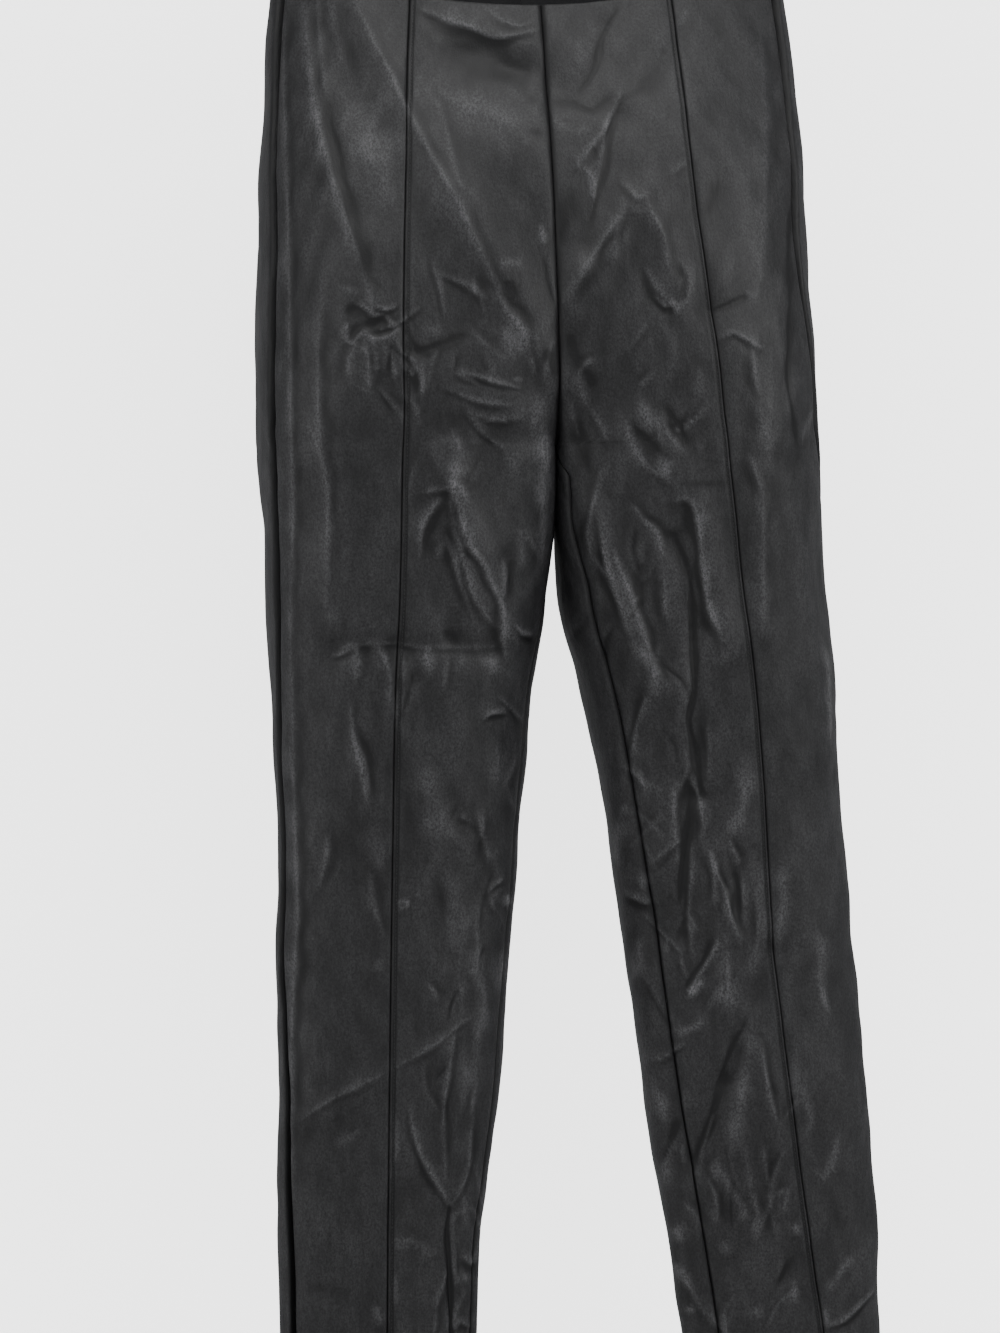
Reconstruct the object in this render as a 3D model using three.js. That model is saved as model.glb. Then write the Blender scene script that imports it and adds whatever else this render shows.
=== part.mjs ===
import * as THREE from 'three';

// Faux leather skinny trousers, filled out and hollow, held at the waist.
// Millimetres, +Z up. The front faces -Y and the wearer's right leg is at -X.
// Levels are measured down from the side of the waist.

// cloth and sewing
const WALL = 1.4;
const SEAM_GAP = 0.3;
const HALF_GAP = SEAM_GAP / 2;

// waist and hem edges
const WAIST_DIP = 22;
const WAIST_DIP_REACH = 130;
const HEM_TILT = 0.06;
const HEM_TILT_START = 880;

// how closely the cloth is divided
const FORK_LEVEL = 305;
const HEM_LEVEL = 1020;
const HIP_ROWS = [0, 14, 34, 56, 78, 100, 122, 144, 166, 188, 208, 227, 244, 258, 270, 280, 288, 294, 299, 302.4, 304.3];
const THIGH_ROWS = [309, 316, 326, 338, 352, 368, 386, 405];
const LEG_ROW_STEP = 22;
const CENTRE_COLUMNS = 9;
const SIDE_COLUMNS = 6;
const BACK_COLUMNS = 17;
const TURN_WEIGHT = 25;
const FINE_STEPS = 72;
const PROBE = 0.004;

// rows fan apart from the fork: how far, and over what height, above and below it
const FAN_ABOVE = 14;
const FAN_ABOVE_REACH = 12;
const FAN_BELOW = 4;
const FAN_BELOW_REACH = 12;
const FAN_START = 2;
const FAN_WIDTH = 32;

// inside a panel the columns follow its edges as they run on average over this height
const CALM_STEP = 8;
const CALM_STEPS = 3;
const CALM_POWER = 4;

// Sections of one leg, widths from the centre plane and depths from the waist's middle plane.
// down: level. centre: middle of the leg. inner, outer: its two edges (inner < 0 joins the legs).
// front, back: faces. fork, side: middle depth at the inner and outer edge. corner: squareness.
// seam: front seam. turnSide, turnIn: degrees the side seam and inseam lie forward of the edges.
const COLUMNS = ['down', 'centre', 'inner', 'outer', 'front', 'back', 'fork', 'side', 'corner', 'seam',
  'turnSide', 'turnIn'];
const RIGHT_LEG = [
  [0, 0, -165, 166.5, -44, 42, 0, 0, 2.4, 81, 22, 0],
  [60, 10, -150, 172.9, -58, 53, 0, 0, 2.5, 87, 24, 0],
  [130, 28, -115, 179.1, -74, 67, -4, -2, 2.6, 92.5, 26, 0],
  [200, 55, -75, 183.5, -79, 76, -12, -4, 2.6, 97, 29, 0],
  [250, 76, -44, 186.5, -78, 76, -22, -6, 2.6, 99, 29, 0],
  [280, 86, -15, 187.5, -75.5, 72.5, -31, -8, 2.6, 99.5, 29, 0],
  [292, 89.5, -5.6, 187.5, -74.5, 71, -35.5, -8, 2.6, 100, 28, 0],
  [300, 91, -1.2, 187, -73.5, 69.5, -37.5, -8, 2.6, 100.5, 28, 0],
  [305, 91.5, 0.2, 187, -73, 69, -38, -8, 2.6, 101, 28, 0],
  [325, 92.5, 0.4, 186, -71, 67, -33, -7, 2.5, 102, 27, 5],
  [350, 93, 0.5, 184.6, -68, 64, -22, -6, 2.5, 103, 26, 14],
  [400, 96.5, 5.5, 185.5, -62, 57, -8, -3, 2.5, 105.5, 26, 20],
  [460, 100, 16.6, 183.8, -55, 50, 0, 0, 2.4, 110, 20, 24],
  [530, 104, 25.5, 183.2, -47, 42, 0, 0, 2.3, 113, 17, 24],
  [620, 111, 36, 186.7, -38, 34, 0, 0, 2.3, 117, 19, 24],
  [720, 119, 48, 189.8, -33, 29, 0, 0, 2.2, 121.5, 24, 24],
  [820, 128, 64, 193.5, -24, 23, 0, 0, 2.2, 125.5, 30, 24],
  [920, 132, 70, 194.5, -18, 18, 0, 0, 2.2, 129, 32, 24],
  [1030, 136, 78, 194.5, -15, 15, 0, 0, 2.2, 133, 32, 24],
];
const LEFT_LEG = [
  [0, 0, -165, 166, -44, 42, 0, 0, 2.4, 84, 25, 0],
  [60, 10, -150, 170, -58, 53, 0, 0, 2.5, 87, 27, 0],
  [130, 28, -115, 172.6, -74, 67, -4, -2, 2.6, 89.5, 30, 0],
  [200, 55, -75, 172.8, -79, 76, -12, -4, 2.6, 95, 33, 0],
  [250, 76, -44, 175, -78, 76, -22, -6, 2.6, 100.5, 31, 0],
  [280, 86, -15, 174.8, -75.5, 72.5, -31, -8, 2.6, 103, 28, 0],
  [292, 89.5, -5.6, 174.2, -74.5, 71, -35.5, -8, 2.6, 104, 27, 0],
  [300, 91, -1.2, 174, -73.5, 69.5, -37.5, -8, 2.6, 105, 26, 0],
  [305, 91.5, 0.2, 174, -73, 69, -38, -8, 2.6, 105.5, 25, 0],
  [325, 91, 0.4, 174.8, -71, 67, -33, -7, 2.5, 107, 20, 25.6],
  [350, 90, 0.5, 175.6, -68, 64, -22, -6, 2.5, 109.5, 15, 28.5],
  [400, 91.5, 3.5, 177, -62, 57, -8, -3, 2.5, 114, 7, 37.7],
  [460, 99, 16.3, 181.8, -55, 50, 0, 0, 2.4, 121, 1, 39],
  [530, 106, 27.6, 183, -47, 42, 0, 0, 2.3, 125.5, -4, 39.7],
  [620, 113, 37.2, 187.5, -38, 34, 0, 0, 2.3, 129, -6, 43],
  [720, 120, 47, 193.2, -33, 29, 0, 0, 2.2, 137.5, -8, 44.2],
  [820, 128, 59.4, 197.2, -24, 23, 0, 0, 2.2, 148.5, -9, 47.5],
  [920, 132, 70.2, 196.4, -18, 18, 0, 0, 2.2, 160, -9, 51],
  [1030, 136.5, 78.5, 195.2, -15, 15, 0, 0, 2.2, 166, -9, 53],
];

// The largest folds. x is the wearer's left when positive; height < 0 is a hollow.
// x1, down1, x2, down2: ends. width: half width. height: how far it stands out.
const FRONT_FOLDS = [
  [-120, 17, -63, 145, 14, 2.4],
  [-63, 145, -3, 261, 12, 2.4],
  [-147, 24, -135, 142, 12, 1.4],
  [-135, 142, -115, 210, 12, 1.8],
  [-98, 111, -66, 226, 16, -2],
  [-46, 38, -6, 47, 14, 1.5],
  [-50, 57, -2, 73, 13, -1.5],
  [38, 44, 24, 86, 12, -1.4],
  [42, 101, 19, 178, 13, -2],
  [46, 159, 8, 218, 12, 2.2],
  [60, 147, 72, 205, 12, 1.6],
  [-74, 268, -24, 281, 12, 1.4],
  [96, 224, 131, 219, 12, -1.6],
  [-69, 326, -38, 421, 11, 2.6],
  [-96, 341, -74, 421, 14, -2],
  [-146, 271, -146, 405, 11, 1.4],
  [-144, 428, -41, 429, 10, -1.6],
  [-136, 433, -128, 525, 11, 1.2],
  [-184, 728, -61, 666, 9, 1],
  [-82, 686, -83, 776, 9, 1.4],
  [-83, 786, -82, 876, 9, -1.4],
  [22, 348, 58, 459, 11, 3],
  [70, 365, 82, 421, 10, -3],
  [82, 421, 84, 528, 10, -3],
  [86, 347, 103, 437, 11, 2.2],
  [50, 294, 74, 331, 14, 1.6],
  [130, 287, 125, 423, 12, 1.4],
  [150, 333, 169, 501, 11, 1],
  [78, 532, 71, 616, 10, -2],
  [92, 564, 97, 620, 10, 1.6],
  [129, 631, 97, 713, 10, -2.4],
  [97, 713, 75, 763, 10, -2.2],
  [114, 673, 131, 754, 10, 1.8],
  [188, 826, 160, 873, 10, 1.2],
];
const BACK_FOLDS = [
  [-152, 288, -52, 334, 14, -2.6],
  [-150, 322, -60, 366, 13, 1.8],
  [54, 330, 148, 292, 14, -2.4],
  [58, 368, 150, 326, 13, 1.8],
  [-118, 40, -40, 170, 15, 1.8],
  [116, 46, 36, 190, 15, 1.8],
  [-24, 150, -70, 236, 14, -1.8],
  [26, 170, 76, 246, 14, -1.8],
  [-140, 420, -104, 540, 12, 2],
  [128, 430, 96, 548, 12, 2],
  [-160, 600, -62, 628, 10, -2],
  [-158, 640, -64, 650, 10, 1.8],
  [52, 622, 168, 606, 10, -2],
  [56, 650, 166, 642, 10, 1.8],
  [-166, 690, -84, 716, 10, -1.6],
  [66, 704, 168, 682, 10, -1.6],
  [-120, 740, -136, 860, 10, 1.4],
  [118, 750, 136, 868, 10, 1.4],
];

const DEGREE = Math.PI / 180;
const BLACK = 0x17171a;

function faux_leather() {
  return new THREE.MeshStandardMaterial({ color: BLACK, roughness: 0.42, metalness: 0 });
}

function clamp(value, low, high) {
  return Math.min(high, Math.max(low, value));
}

function ease(value) {
  const t = clamp(value, 0, 1);
  return t * t * (3 - 2 * t);
}

// slopes of a curve that never swings past the table's own values
function levelSlopes(table, column) {
  const last = table.length - 1;
  const chord = [];
  for (let i = 0; i < last; i += 1) {
    chord.push((table[i + 1][column] - table[i][column]) / (table[i + 1][0] - table[i][0]));
  }
  const slopes = [chord[0]];
  for (let i = 1; i < last; i += 1) {
    const same = chord[i - 1] * chord[i] > 0;
    slopes.push(same ? 2 * chord[i - 1] * chord[i] / (chord[i - 1] + chord[i]) : 0);
  }
  slopes.push(chord[last - 1]);
  return slopes;
}

function makeLeg(side, table) {
  const slopes = COLUMNS.map((name, column) => levelSlopes(table, column));
  return { side, table, slopes, known: new Map() };
}

function sectionAt(leg, down) {
  const { table, slopes, known } = leg;
  if (known.has(down)) {
    return known.get(down);
  }
  let i = 0;
  while (i < table.length - 2 && table[i + 1][0] < down) {
    i += 1;
  }
  const step = table[i + 1][0] - table[i][0];
  const t = (down - table[i][0]) / step;
  const section = {};
  COLUMNS.forEach((name, column) => {
    const a = table[i][column];
    const b = table[i + 1][column];
    const hermite = (2 * t ** 3 - 3 * t ** 2 + 1) * a + (3 * t ** 2 - 2 * t ** 3) * b
      + step * ((t ** 3 - 2 * t ** 2 + t) * slopes[column][i] + (t ** 3 - t ** 2) * slopes[column][i + 1]);
    section[name] = hermite;
  });
  known.set(down, section);
  return section;
}

// how far round the section (0 innermost, 90 front, 180 outermost) a width is met on the front
function angleAtWidth(section, width) {
  const across = width - section.centre;
  const reach = across < 0 ? section.centre - section.inner : section.outer - section.centre;
  const part = clamp(Math.abs(across) / reach, 0, 1);
  const rise = (1 - part ** section.corner) ** (1 / section.corner);
  const angle = Math.atan2(rise, part);
  return across < 0 ? angle : Math.PI - angle;
}

// heights of all folds on one face at a place
function foldHeight(folds, x, down) {
  let height = 0;
  for (const [x1, down1, x2, down2, width, top] of folds) {
    const length = Math.hypot(x2 - x1, down2 - down1);
    const along = ((x - x1) * (x2 - x1) + (down - down1) * (down2 - down1)) / length;
    const across = ((x - x1) * (down2 - down1) - (down - down1) * (x2 - x1)) / length;
    if (along > -width * 2 && along < length + width * 2 && Math.abs(across) < width * 3) {
      const past = Math.max(0, -along, along - length) / width;
      height += top * Math.exp(-(((across / width) ** 2) + past ** 2));
    }
  }
  return height;
}

// one point of the cloth's outside, at a level and a turn round the leg
function clothPoint(leg, down, angle) {
  const section = sectionAt(leg, down);
  const cos = Math.cos(angle);
  const sin = Math.sin(angle);
  const n = section.corner;
  const grow = (Math.abs(cos) ** n + Math.abs(sin) ** n) ** (-1 / n);
  const reach = cos > 0 ? section.inner - section.centre : section.centre - section.outer;
  const x = section.centre + reach * grow * cos;
  const start = Math.max(section.inner, 0);
  const middle = section.fork + (section.side - section.fork) * ease((x - start) / (section.outer - start));
  const depth = sin > 0 ? section.front - middle : middle - section.back;
  const y = middle + depth * grow * sin;
  return { x, y };
}

// the same point with the folds added, as a 3-D vector on its own side of the body
function foldedPoint(leg, down, angle) {
  const here = clothPoint(leg, down, angle);
  const next = clothPoint(leg, down, angle + PROBE);
  const tangentX = next.x - here.x;
  const tangentY = next.y - here.y;
  const size = Math.hypot(tangentX, tangentY);
  const sin = Math.sin(angle);
  const folds = sin > 0 ? FRONT_FOLDS : BACK_FOLDS;
  const facing = ease(Math.abs(sin) * 2.2);
  const height = foldHeight(folds, leg.side * here.x, down) * facing;
  const x = here.x + height * tangentY / size;
  const y = here.y - height * tangentX / size;
  return new THREE.Vector3(leg.side * x, y, -down);
}

// outward direction of the cloth
function clothNormal(leg, down, angle) {
  const round = foldedPoint(leg, down, angle + PROBE).sub(foldedPoint(leg, down, angle - PROBE));
  const drop = foldedPoint(leg, down + 0.5, angle).sub(foldedPoint(leg, down - 0.5, angle));
  return round.cross(drop).multiplyScalar(-leg.side).normalize();
}

// angles where a panel starts and ends at a level
function panelEdges(leg, down, panel) {
  const section = sectionAt(leg, down);
  const joined = down < FORK_LEVEL;
  const centre = joined ? angleAtWidth(section, HALF_GAP) : section.turnIn * DEGREE;
  const seam = angleAtWidth(section, section.seam);
  const sideSeam = Math.PI - section.turnSide * DEGREE;
  const end = joined ? 2 * Math.PI - centre : 2 * Math.PI + centre;
  const stops = { centre: [centre, seam], side: [seam, sideSeam], back: [sideSeam, end] }[panel];
  const trims = {
    centre: [joined ? 0 : HALF_GAP, HALF_GAP],
    side: [HALF_GAP, HALF_GAP],
    back: [HALF_GAP, joined ? 0 : HALF_GAP],
  }[panel];
  const speedStart = edgeSpeed(leg, down, stops[0]);
  const speedEnd = edgeSpeed(leg, down, stops[1]);
  return [stops[0] + trims[0] / speedStart, stops[1] - trims[1] / speedEnd];
}

// millimetres of cloth per radian at a place
function edgeSpeed(leg, down, angle) {
  const a = clothPoint(leg, down, angle - PROBE);
  const b = clothPoint(leg, down, angle + PROBE);
  return Math.hypot(b.x - a.x, b.y - a.y) / (2 * PROBE);
}

// a panel's edges averaged over a short height
function calmEdges(leg, down, panel) {
  const sum = [0, 0];
  for (let i = -CALM_STEPS; i <= CALM_STEPS; i += 1) {
    const edges = panelEdges(leg, clamp(down + i * CALM_STEP, 0, HEM_LEVEL), panel);
    sum[0] += edges[0];
    sum[1] += edges[1];
  }
  return sum.map((value) => value / (2 * CALM_STEPS + 1));
}

// angles of the columns between a panel's edges, closer together where the cloth turns
function columnAngles(leg, down, panel, columns) {
  const edges = panelEdges(leg, down, panel);
  const [start, end] = calmEdges(leg, down, panel);
  const measure = [0];
  let before = null;
  let heading = null;
  for (let i = 0; i <= FINE_STEPS; i += 1) {
    const point = clothPoint(leg, down, start + (end - start) * i / FINE_STEPS);
    if (before) {
      const stepX = point.x - before.x;
      const stepY = point.y - before.y;
      const direction = Math.atan2(stepY, stepX);
      let turn = heading === null ? 0 : Math.abs(direction - heading);
      turn = Math.min(turn, 2 * Math.PI - turn);
      measure.push(measure[i - 1] + Math.hypot(stepX, stepY) + TURN_WEIGHT * turn);
      heading = direction;
    }
    before = point;
  }
  const total = measure[FINE_STEPS];
  const angles = [];
  let i = 0;
  for (let column = 0; column <= columns; column += 1) {
    const wanted = total * column / columns;
    while (i < FINE_STEPS - 1 && measure[i + 1] < wanted) {
      i += 1;
    }
    const part = (wanted - measure[i]) / (measure[i + 1] - measure[i]);
    const calm = start + (end - start) * (i + part) / FINE_STEPS;
    const share = column / columns;
    angles.push(calm + (edges[0] - start) * (1 - share) ** CALM_POWER + (edges[1] - end) * share ** CALM_POWER);
  }
  return angles;
}

// level of a point once the waist's dip and the hem's tilt are added to its row
function trueLevel(leg, down, angle) {
  const section = sectionAt(leg, down);
  const { x } = clothPoint(leg, down, angle);
  const open = Math.max(0, 1 - (x / section.outer) ** 2);
  const facing = Math.max(0, Math.sin(angle));
  const fade = Math.max(0, 1 - down / WAIST_DIP_REACH) ** 2;
  const dip = WAIST_DIP * open ** 1.5 * ease(facing * 2) * fade;
  const ramp = ease((down - HEM_TILT_START) / (HEM_LEVEL - HEM_TILT_START));
  const tilt = (x - section.centre) * HEM_TILT * ramp;
  const above = Math.max(0, FORK_LEVEL - down) / FAN_ABOVE_REACH;
  const below = Math.max(0, down - FORK_LEVEL) / FAN_BELOW_REACH;
  const fan = FAN_BELOW * below * Math.exp(1 - below) - FAN_ABOVE * above * Math.exp(1 - above);
  return down + dip - tilt + fan * ease((x - FAN_START) / FAN_WIDTH);
}

function rowLevels() {
  const rows = [...HIP_ROWS, FORK_LEVEL, ...THIGH_ROWS];
  const from = rows[rows.length - 1];
  const count = Math.round((HEM_LEVEL - from) / LEG_ROW_STEP);
  for (let i = 1; i <= count; i += 1) {
    rows.push(from + (HEM_LEVEL - from) * i / count);
  }
  return rows;
}

// outer and inner points of one panel, row by row
function panelGrid(leg, panel, columns) {
  return rowLevels().map((down) => {
    const rowEdges = panelEdges(leg, down, panel);
    return columnAngles(leg, down, panel, columns).map((angle, column) => {
      const level = trueLevel(leg, down, angle);
      const edges = panelEdges(leg, level, panel);
      const part = (angle - rowEdges[0]) / (rowEdges[1] - rowEdges[0]);
      const place = edges[0] + (edges[1] - edges[0]) * part;
      const outer = foldedPoint(leg, level, place);
      const inner = outer.clone().addScaledVector(clothNormal(leg, level, place), -WALL);
      const onCentre = level < FORK_LEVEL
        && ((panel === 'centre' && column === 0) || (panel === 'back' && column === columns));
      for (const point of [outer, inner]) {
        const width = point === outer && onCentre ? HALF_GAP : Math.max(HALF_GAP, leg.side * point.x);
        point.x = leg.side * width;
      }
      return { outer, inner };
    });
  });
}

// closed shell from a grid of outer and inner points
function shellGeometry(grid, side) {
  const rows = grid.length;
  const columns = grid[0].length;
  const positions = [];
  const faces = [];
  for (const layer of ['outer', 'inner']) {
    for (const row of grid) {
      for (const node of row) {
        positions.push(node[layer].x, node[layer].y, node[layer].z);
      }
    }
  }
  const inside = rows * columns;
  const at = (row, column) => row * columns + column;
  const quad = (a, b, c, d) => {
    const corners = side > 0 ? [a, b, c, a, c, d] : [a, c, b, a, d, c];
    faces.push(...corners);
  };
  for (let row = 0; row < rows - 1; row += 1) {
    for (let column = 0; column < columns - 1; column += 1) {
      const corners = [at(row, column), at(row + 1, column), at(row + 1, column + 1), at(row, column + 1)];
      quad(...corners);
      quad(...corners.map((index) => index + inside).reverse());
    }
  }
  const rim = [];
  for (let row = 0; row < rows - 1; row += 1) {
    rim.push([at(row, 0), at(row + 1, 0)]);
    rim.push([at(row + 1, columns - 1), at(row, columns - 1)]);
  }
  for (let column = 0; column < columns - 1; column += 1) {
    rim.push([at(0, column + 1), at(0, column)]);
    rim.push([at(rows - 1, column), at(rows - 1, column + 1)]);
  }
  for (const [a, b] of rim) {
    quad(b, a, a + inside, b + inside);
  }
  const geometry = new THREE.BufferGeometry();
  geometry.setAttribute('position', new THREE.Float32BufferAttribute(positions, 3));
  geometry.setIndex(faces);
  geometry.computeVertexNormals();
  return geometry;
}

function panel(name, leg, kind, columns, material) {
  const mesh = new THREE.Mesh(shellGeometry(panelGrid(leg, kind, columns), leg.side), material);
  mesh.name = name;
  return mesh;
}

function trousers() {
  const group = new THREE.Group();
  group.name = 'skinny_trousers';
  const material = faux_leather();
  const legs = { right: makeLeg(-1, RIGHT_LEG), left: makeLeg(1, LEFT_LEG) };
  for (const [word, leg] of Object.entries(legs)) {
    group.add(panel(`front_centre_${word}`, leg, 'centre', CENTRE_COLUMNS, material));
    group.add(panel(`front_side_${word}`, leg, 'side', SIDE_COLUMNS, material));
    group.add(panel(`back_${word}`, leg, 'back', BACK_COLUMNS, material));
  }
  return group;
}

const group = trousers();
export default group;
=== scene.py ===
import math
import bpy
import numpy as np
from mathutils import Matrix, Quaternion, Vector


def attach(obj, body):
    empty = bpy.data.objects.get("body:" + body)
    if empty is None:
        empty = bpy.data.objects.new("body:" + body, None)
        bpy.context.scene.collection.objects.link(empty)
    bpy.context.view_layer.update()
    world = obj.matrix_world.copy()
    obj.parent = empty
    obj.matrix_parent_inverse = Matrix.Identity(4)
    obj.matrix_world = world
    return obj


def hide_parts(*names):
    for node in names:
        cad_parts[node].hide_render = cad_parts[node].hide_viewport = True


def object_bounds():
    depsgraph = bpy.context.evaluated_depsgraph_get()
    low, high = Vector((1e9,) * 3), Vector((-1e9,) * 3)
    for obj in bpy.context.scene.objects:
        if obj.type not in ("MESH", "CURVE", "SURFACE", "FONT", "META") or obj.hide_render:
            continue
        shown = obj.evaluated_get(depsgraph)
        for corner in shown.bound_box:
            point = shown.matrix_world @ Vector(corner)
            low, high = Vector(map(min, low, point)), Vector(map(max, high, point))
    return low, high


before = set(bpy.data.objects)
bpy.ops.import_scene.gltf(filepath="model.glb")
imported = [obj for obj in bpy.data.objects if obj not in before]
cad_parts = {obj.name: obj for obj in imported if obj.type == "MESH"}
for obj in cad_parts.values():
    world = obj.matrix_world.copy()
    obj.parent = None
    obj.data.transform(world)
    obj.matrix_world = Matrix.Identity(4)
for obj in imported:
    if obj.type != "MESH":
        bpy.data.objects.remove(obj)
cad_low, cad_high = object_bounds()

# ---------------------------------------------------------------- camera
# A long lens a little to the wearer's right of straight ahead, level with the thighs
# and rolled a touch, so that the trousers fill the picture from waist to shin.
camera_turn = math.radians(-7.5)
camera_aside = -0.0355
camera_height = -0.4426
camera_distance = 2.6
picture_height = 0.86
camera_roll = math.radians(-2.2)

camera_data = bpy.data.cameras.new("camera")
camera_data.sensor_width = 36.0
camera_data.lens = 36.0 * camera_distance / picture_height
camera_data.clip_start = 0.1
camera_data.clip_end = 60.0
camera = bpy.data.objects.new("camera", camera_data)
bpy.context.scene.collection.objects.link(camera)
towards_camera = Vector((math.sin(camera_turn), -math.cos(camera_turn), 0.0))
to_the_right = Vector((math.cos(camera_turn), math.sin(camera_turn), 0.0))
aim = to_the_right * camera_aside + Vector((0.0, 0.0, camera_height))
camera.location = aim + towards_camera * camera_distance
camera.rotation_mode = "QUATERNION"
level = (-towards_camera).to_track_quat("-Z", "Y")
camera.rotation_quaternion = level @ Quaternion((0.0, 0.0, 1.0), camera_roll)
bpy.context.scene.camera = camera

# ---------------------------------------------------------------- front centre panels
# The two panels either side of the centre front seam, each running down its leg from
# waist to hem between the inseam and the front seam. Coated black knit, sewn face to
# face so that every edge rolls in, and creased by its own weight and by wear.
MM = 0.001
WALL = 1.4
HALF_GAP = 0.005
FORK_LEVEL = 305.0
HEM_LEVEL = 1020.0
NEARBY = 0.004  # radians: how far ahead the cloth is looked up to find its direction
RIGHT, LEFT = -1, 1

# One row for each level of a leg, in mm from the waist and from the centre line: its middle,
# inner edge and outer edge; how far its front and back stand out; where its depth is centred
# at the fork and at the side; how square it is; how far out the front seam lies; and by how
# many degrees the side seam and the inseam are turned to the front.
LEG_COLUMNS = ("down", "centre", "inner", "outer", "front", "back", "fork", "side", "corner", "seam",
               "turn_side", "turn_in")
leg_tables = {
    RIGHT: np.array([
        (0, 0, -165, 166.5, -44, 42, 0, 0, 2.4, 81, 19, 0),
        (60, 10, -150, 172.9, -58, 53, 0, 0, 2.5, 87, 21, 0),
        (130, 28, -115, 179.1, -74, 67, -4, -2, 2.6, 92.5, 23.5, 0),
        (200, 55, -75, 183.5, -79, 76, -12, -4, 2.6, 97, 27, 0),
        (250, 76, -44, 186.5, -78, 76, -22, -6, 2.6, 99, 28, 0),
        (280, 86, -15, 187.5, -75.5, 72.5, -31, -8, 2.6, 99.5, 29, 0),
        (292, 89.5, -5.6, 187.5, -74.5, 71, -35.5, -8, 2.6, 100, 28, 0),
        (300, 91, -1.2, 187, -73.5, 69.5, -37.5, -8, 2.6, 100.5, 28, 0),
        (305, 91.5, 0.2, 187, -73, 69, -38, -8, 2.6, 101, 28, 0),
        (325, 92.5, 0.4, 186, -71, 67, -33, -7, 2.5, 102, 27, 5),
        (350, 93, 0.5, 184.6, -68, 64, -22, -6, 2.5, 103, 26, 14),
        (400, 96.5, 5.5, 185.5, -62, 57, -8, -3, 2.5, 105.5, 26, 20),
        (460, 100, 16.6, 183.8, -55, 50, 0, 0, 2.4, 110, 20, 24),
        (530, 104, 25.5, 183.2, -47, 42, 0, 0, 2.3, 113, 17, 24),
        (620, 111, 36, 186.7, -38, 34, 0, 0, 2.3, 117, 19, 24),
        (720, 119, 48, 189.8, -33, 29, 0, 0, 2.2, 121.5, 24, 24),
        (820, 128, 64, 193.5, -24, 23, 0, 0, 2.2, 125.5, 30, 24),
        (920, 132, 70, 194.5, -18, 18, 0, 0, 2.2, 129, 32, 24),
        (1030, 136, 78, 194.5, -15, 15, 0, 0, 2.2, 133, 32, 24),
    ]),
    LEFT: np.array([
        (0, 0, -165, 166, -44, 42, 0, 0, 2.4, 84, 25, 0),
        (60, 10, -150, 170, -58, 53, 0, 0, 2.5, 87, 27, 0),
        (130, 28, -115, 172.6, -74, 67, -4, -2, 2.6, 89.5, 30, 0),
        (200, 55, -75, 172.8, -79, 76, -12, -4, 2.6, 95, 33, 0),
        (250, 76, -44, 175, -78, 76, -22, -6, 2.6, 100.5, 31, 0),
        (280, 86, -15, 174.8, -75.5, 72.5, -31, -8, 2.6, 103, 28, 0),
        (292, 89.5, -5.6, 174.2, -74.5, 71, -35.5, -8, 2.6, 104, 27, 0),
        (300, 91, -1.2, 174, -73.5, 69.5, -37.5, -8, 2.6, 105, 26, 0),
        (305, 91.5, 0.2, 174, -73, 69, -38, -8, 2.6, 105.5, 25, 0),
        (325, 91, 0.4, 174.8, -71, 67, -33, -7, 2.5, 107, 20, 25.6),
        (350, 90, 0.5, 175.6, -68, 64, -22, -6, 2.5, 109.5, 15, 28.5),
        (400, 91.5, 3.5, 177, -62, 57, -8, -3, 2.5, 114, 7, 37.7),
        (460, 99, 16.3, 181.8, -55, 50, 0, 0, 2.4, 121, 1, 39),
        (530, 106, 27.6, 183, -47, 42, 0, 0, 2.3, 125.5, -4, 39.7),
        (620, 113, 37.2, 187.5, -38, 34, 0, 0, 2.3, 129, -6, 43),
        (720, 120, 47, 193.2, -33, 29, 0, 0, 2.2, 137.5, -8, 44.2),
        (820, 128, 59.4, 197.2, -24, 23, 0, 0, 2.2, 148.5, -9, 47.5),
        (920, 132, 70.2, 196.4, -18, 18, 0, 0, 2.2, 160, -9, 51),
        (1030, 136.5, 78.5, 195.2, -15, 15, 0, 0, 2.2, 166, -9, 53),
    ]),
}

# broad folds: x1, down1, x2, down2, half width, height (below 0 for a hollow)
front_folds = [
    (-120, 17, -63, 145, 14, 2.4),
    (-63, 145, -3, 261, 12, 2.4),
    (-147, 24, -135, 142, 12, 1.4),
    (-135, 142, -115, 210, 12, 1.8),
    (-98, 111, -66, 226, 16, -2),
    (-46, 38, -6, 47, 14, 1.5),
    (-50, 57, -2, 73, 13, -1.5),
    (38, 44, 24, 86, 12, -1.4),
    (42, 101, 19, 178, 13, -2),
    (46, 159, 8, 218, 12, 2.2),
    (60, 147, 72, 205, 12, 1.6),
    (-74, 268, -24, 281, 12, 1.4),
    (96, 224, 131, 219, 12, -1.6),
    (-69, 326, -38, 421, 11, 2.6),
    (-96, 341, -74, 421, 14, -2),
    (-146, 271, -146, 405, 11, 1.4),
    (-144, 428, -41, 429, 10, -1.6),
    (-136, 433, -128, 525, 11, 1.2),
    (-184, 728, -61, 666, 9, 1),
    (-82, 686, -83, 776, 9, 1.4),
    (-83, 786, -82, 876, 9, -1.4),
    (22, 348, 58, 459, 11, 3),
    (70, 365, 82, 421, 8, -2),
    (82, 432, 84, 528, 7, -2),
    (86, 347, 103, 437, 11, 2.2),
    (50, 294, 74, 331, 14, 1.6),
    (130, 287, 125, 423, 12, 1.4),
    (150, 333, 169, 501, 11, 1),
    (78, 532, 71, 616, 10, -2),
    (92, 564, 97, 620, 10, 1.6),
    (129, 631, 97, 713, 10, -2.4),
    (97, 713, 75, 763, 10, -2.2),
    (114, 673, 131, 754, 10, 1.8),
    (188, 826, 160, 873, 10, 1.2),
]
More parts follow.
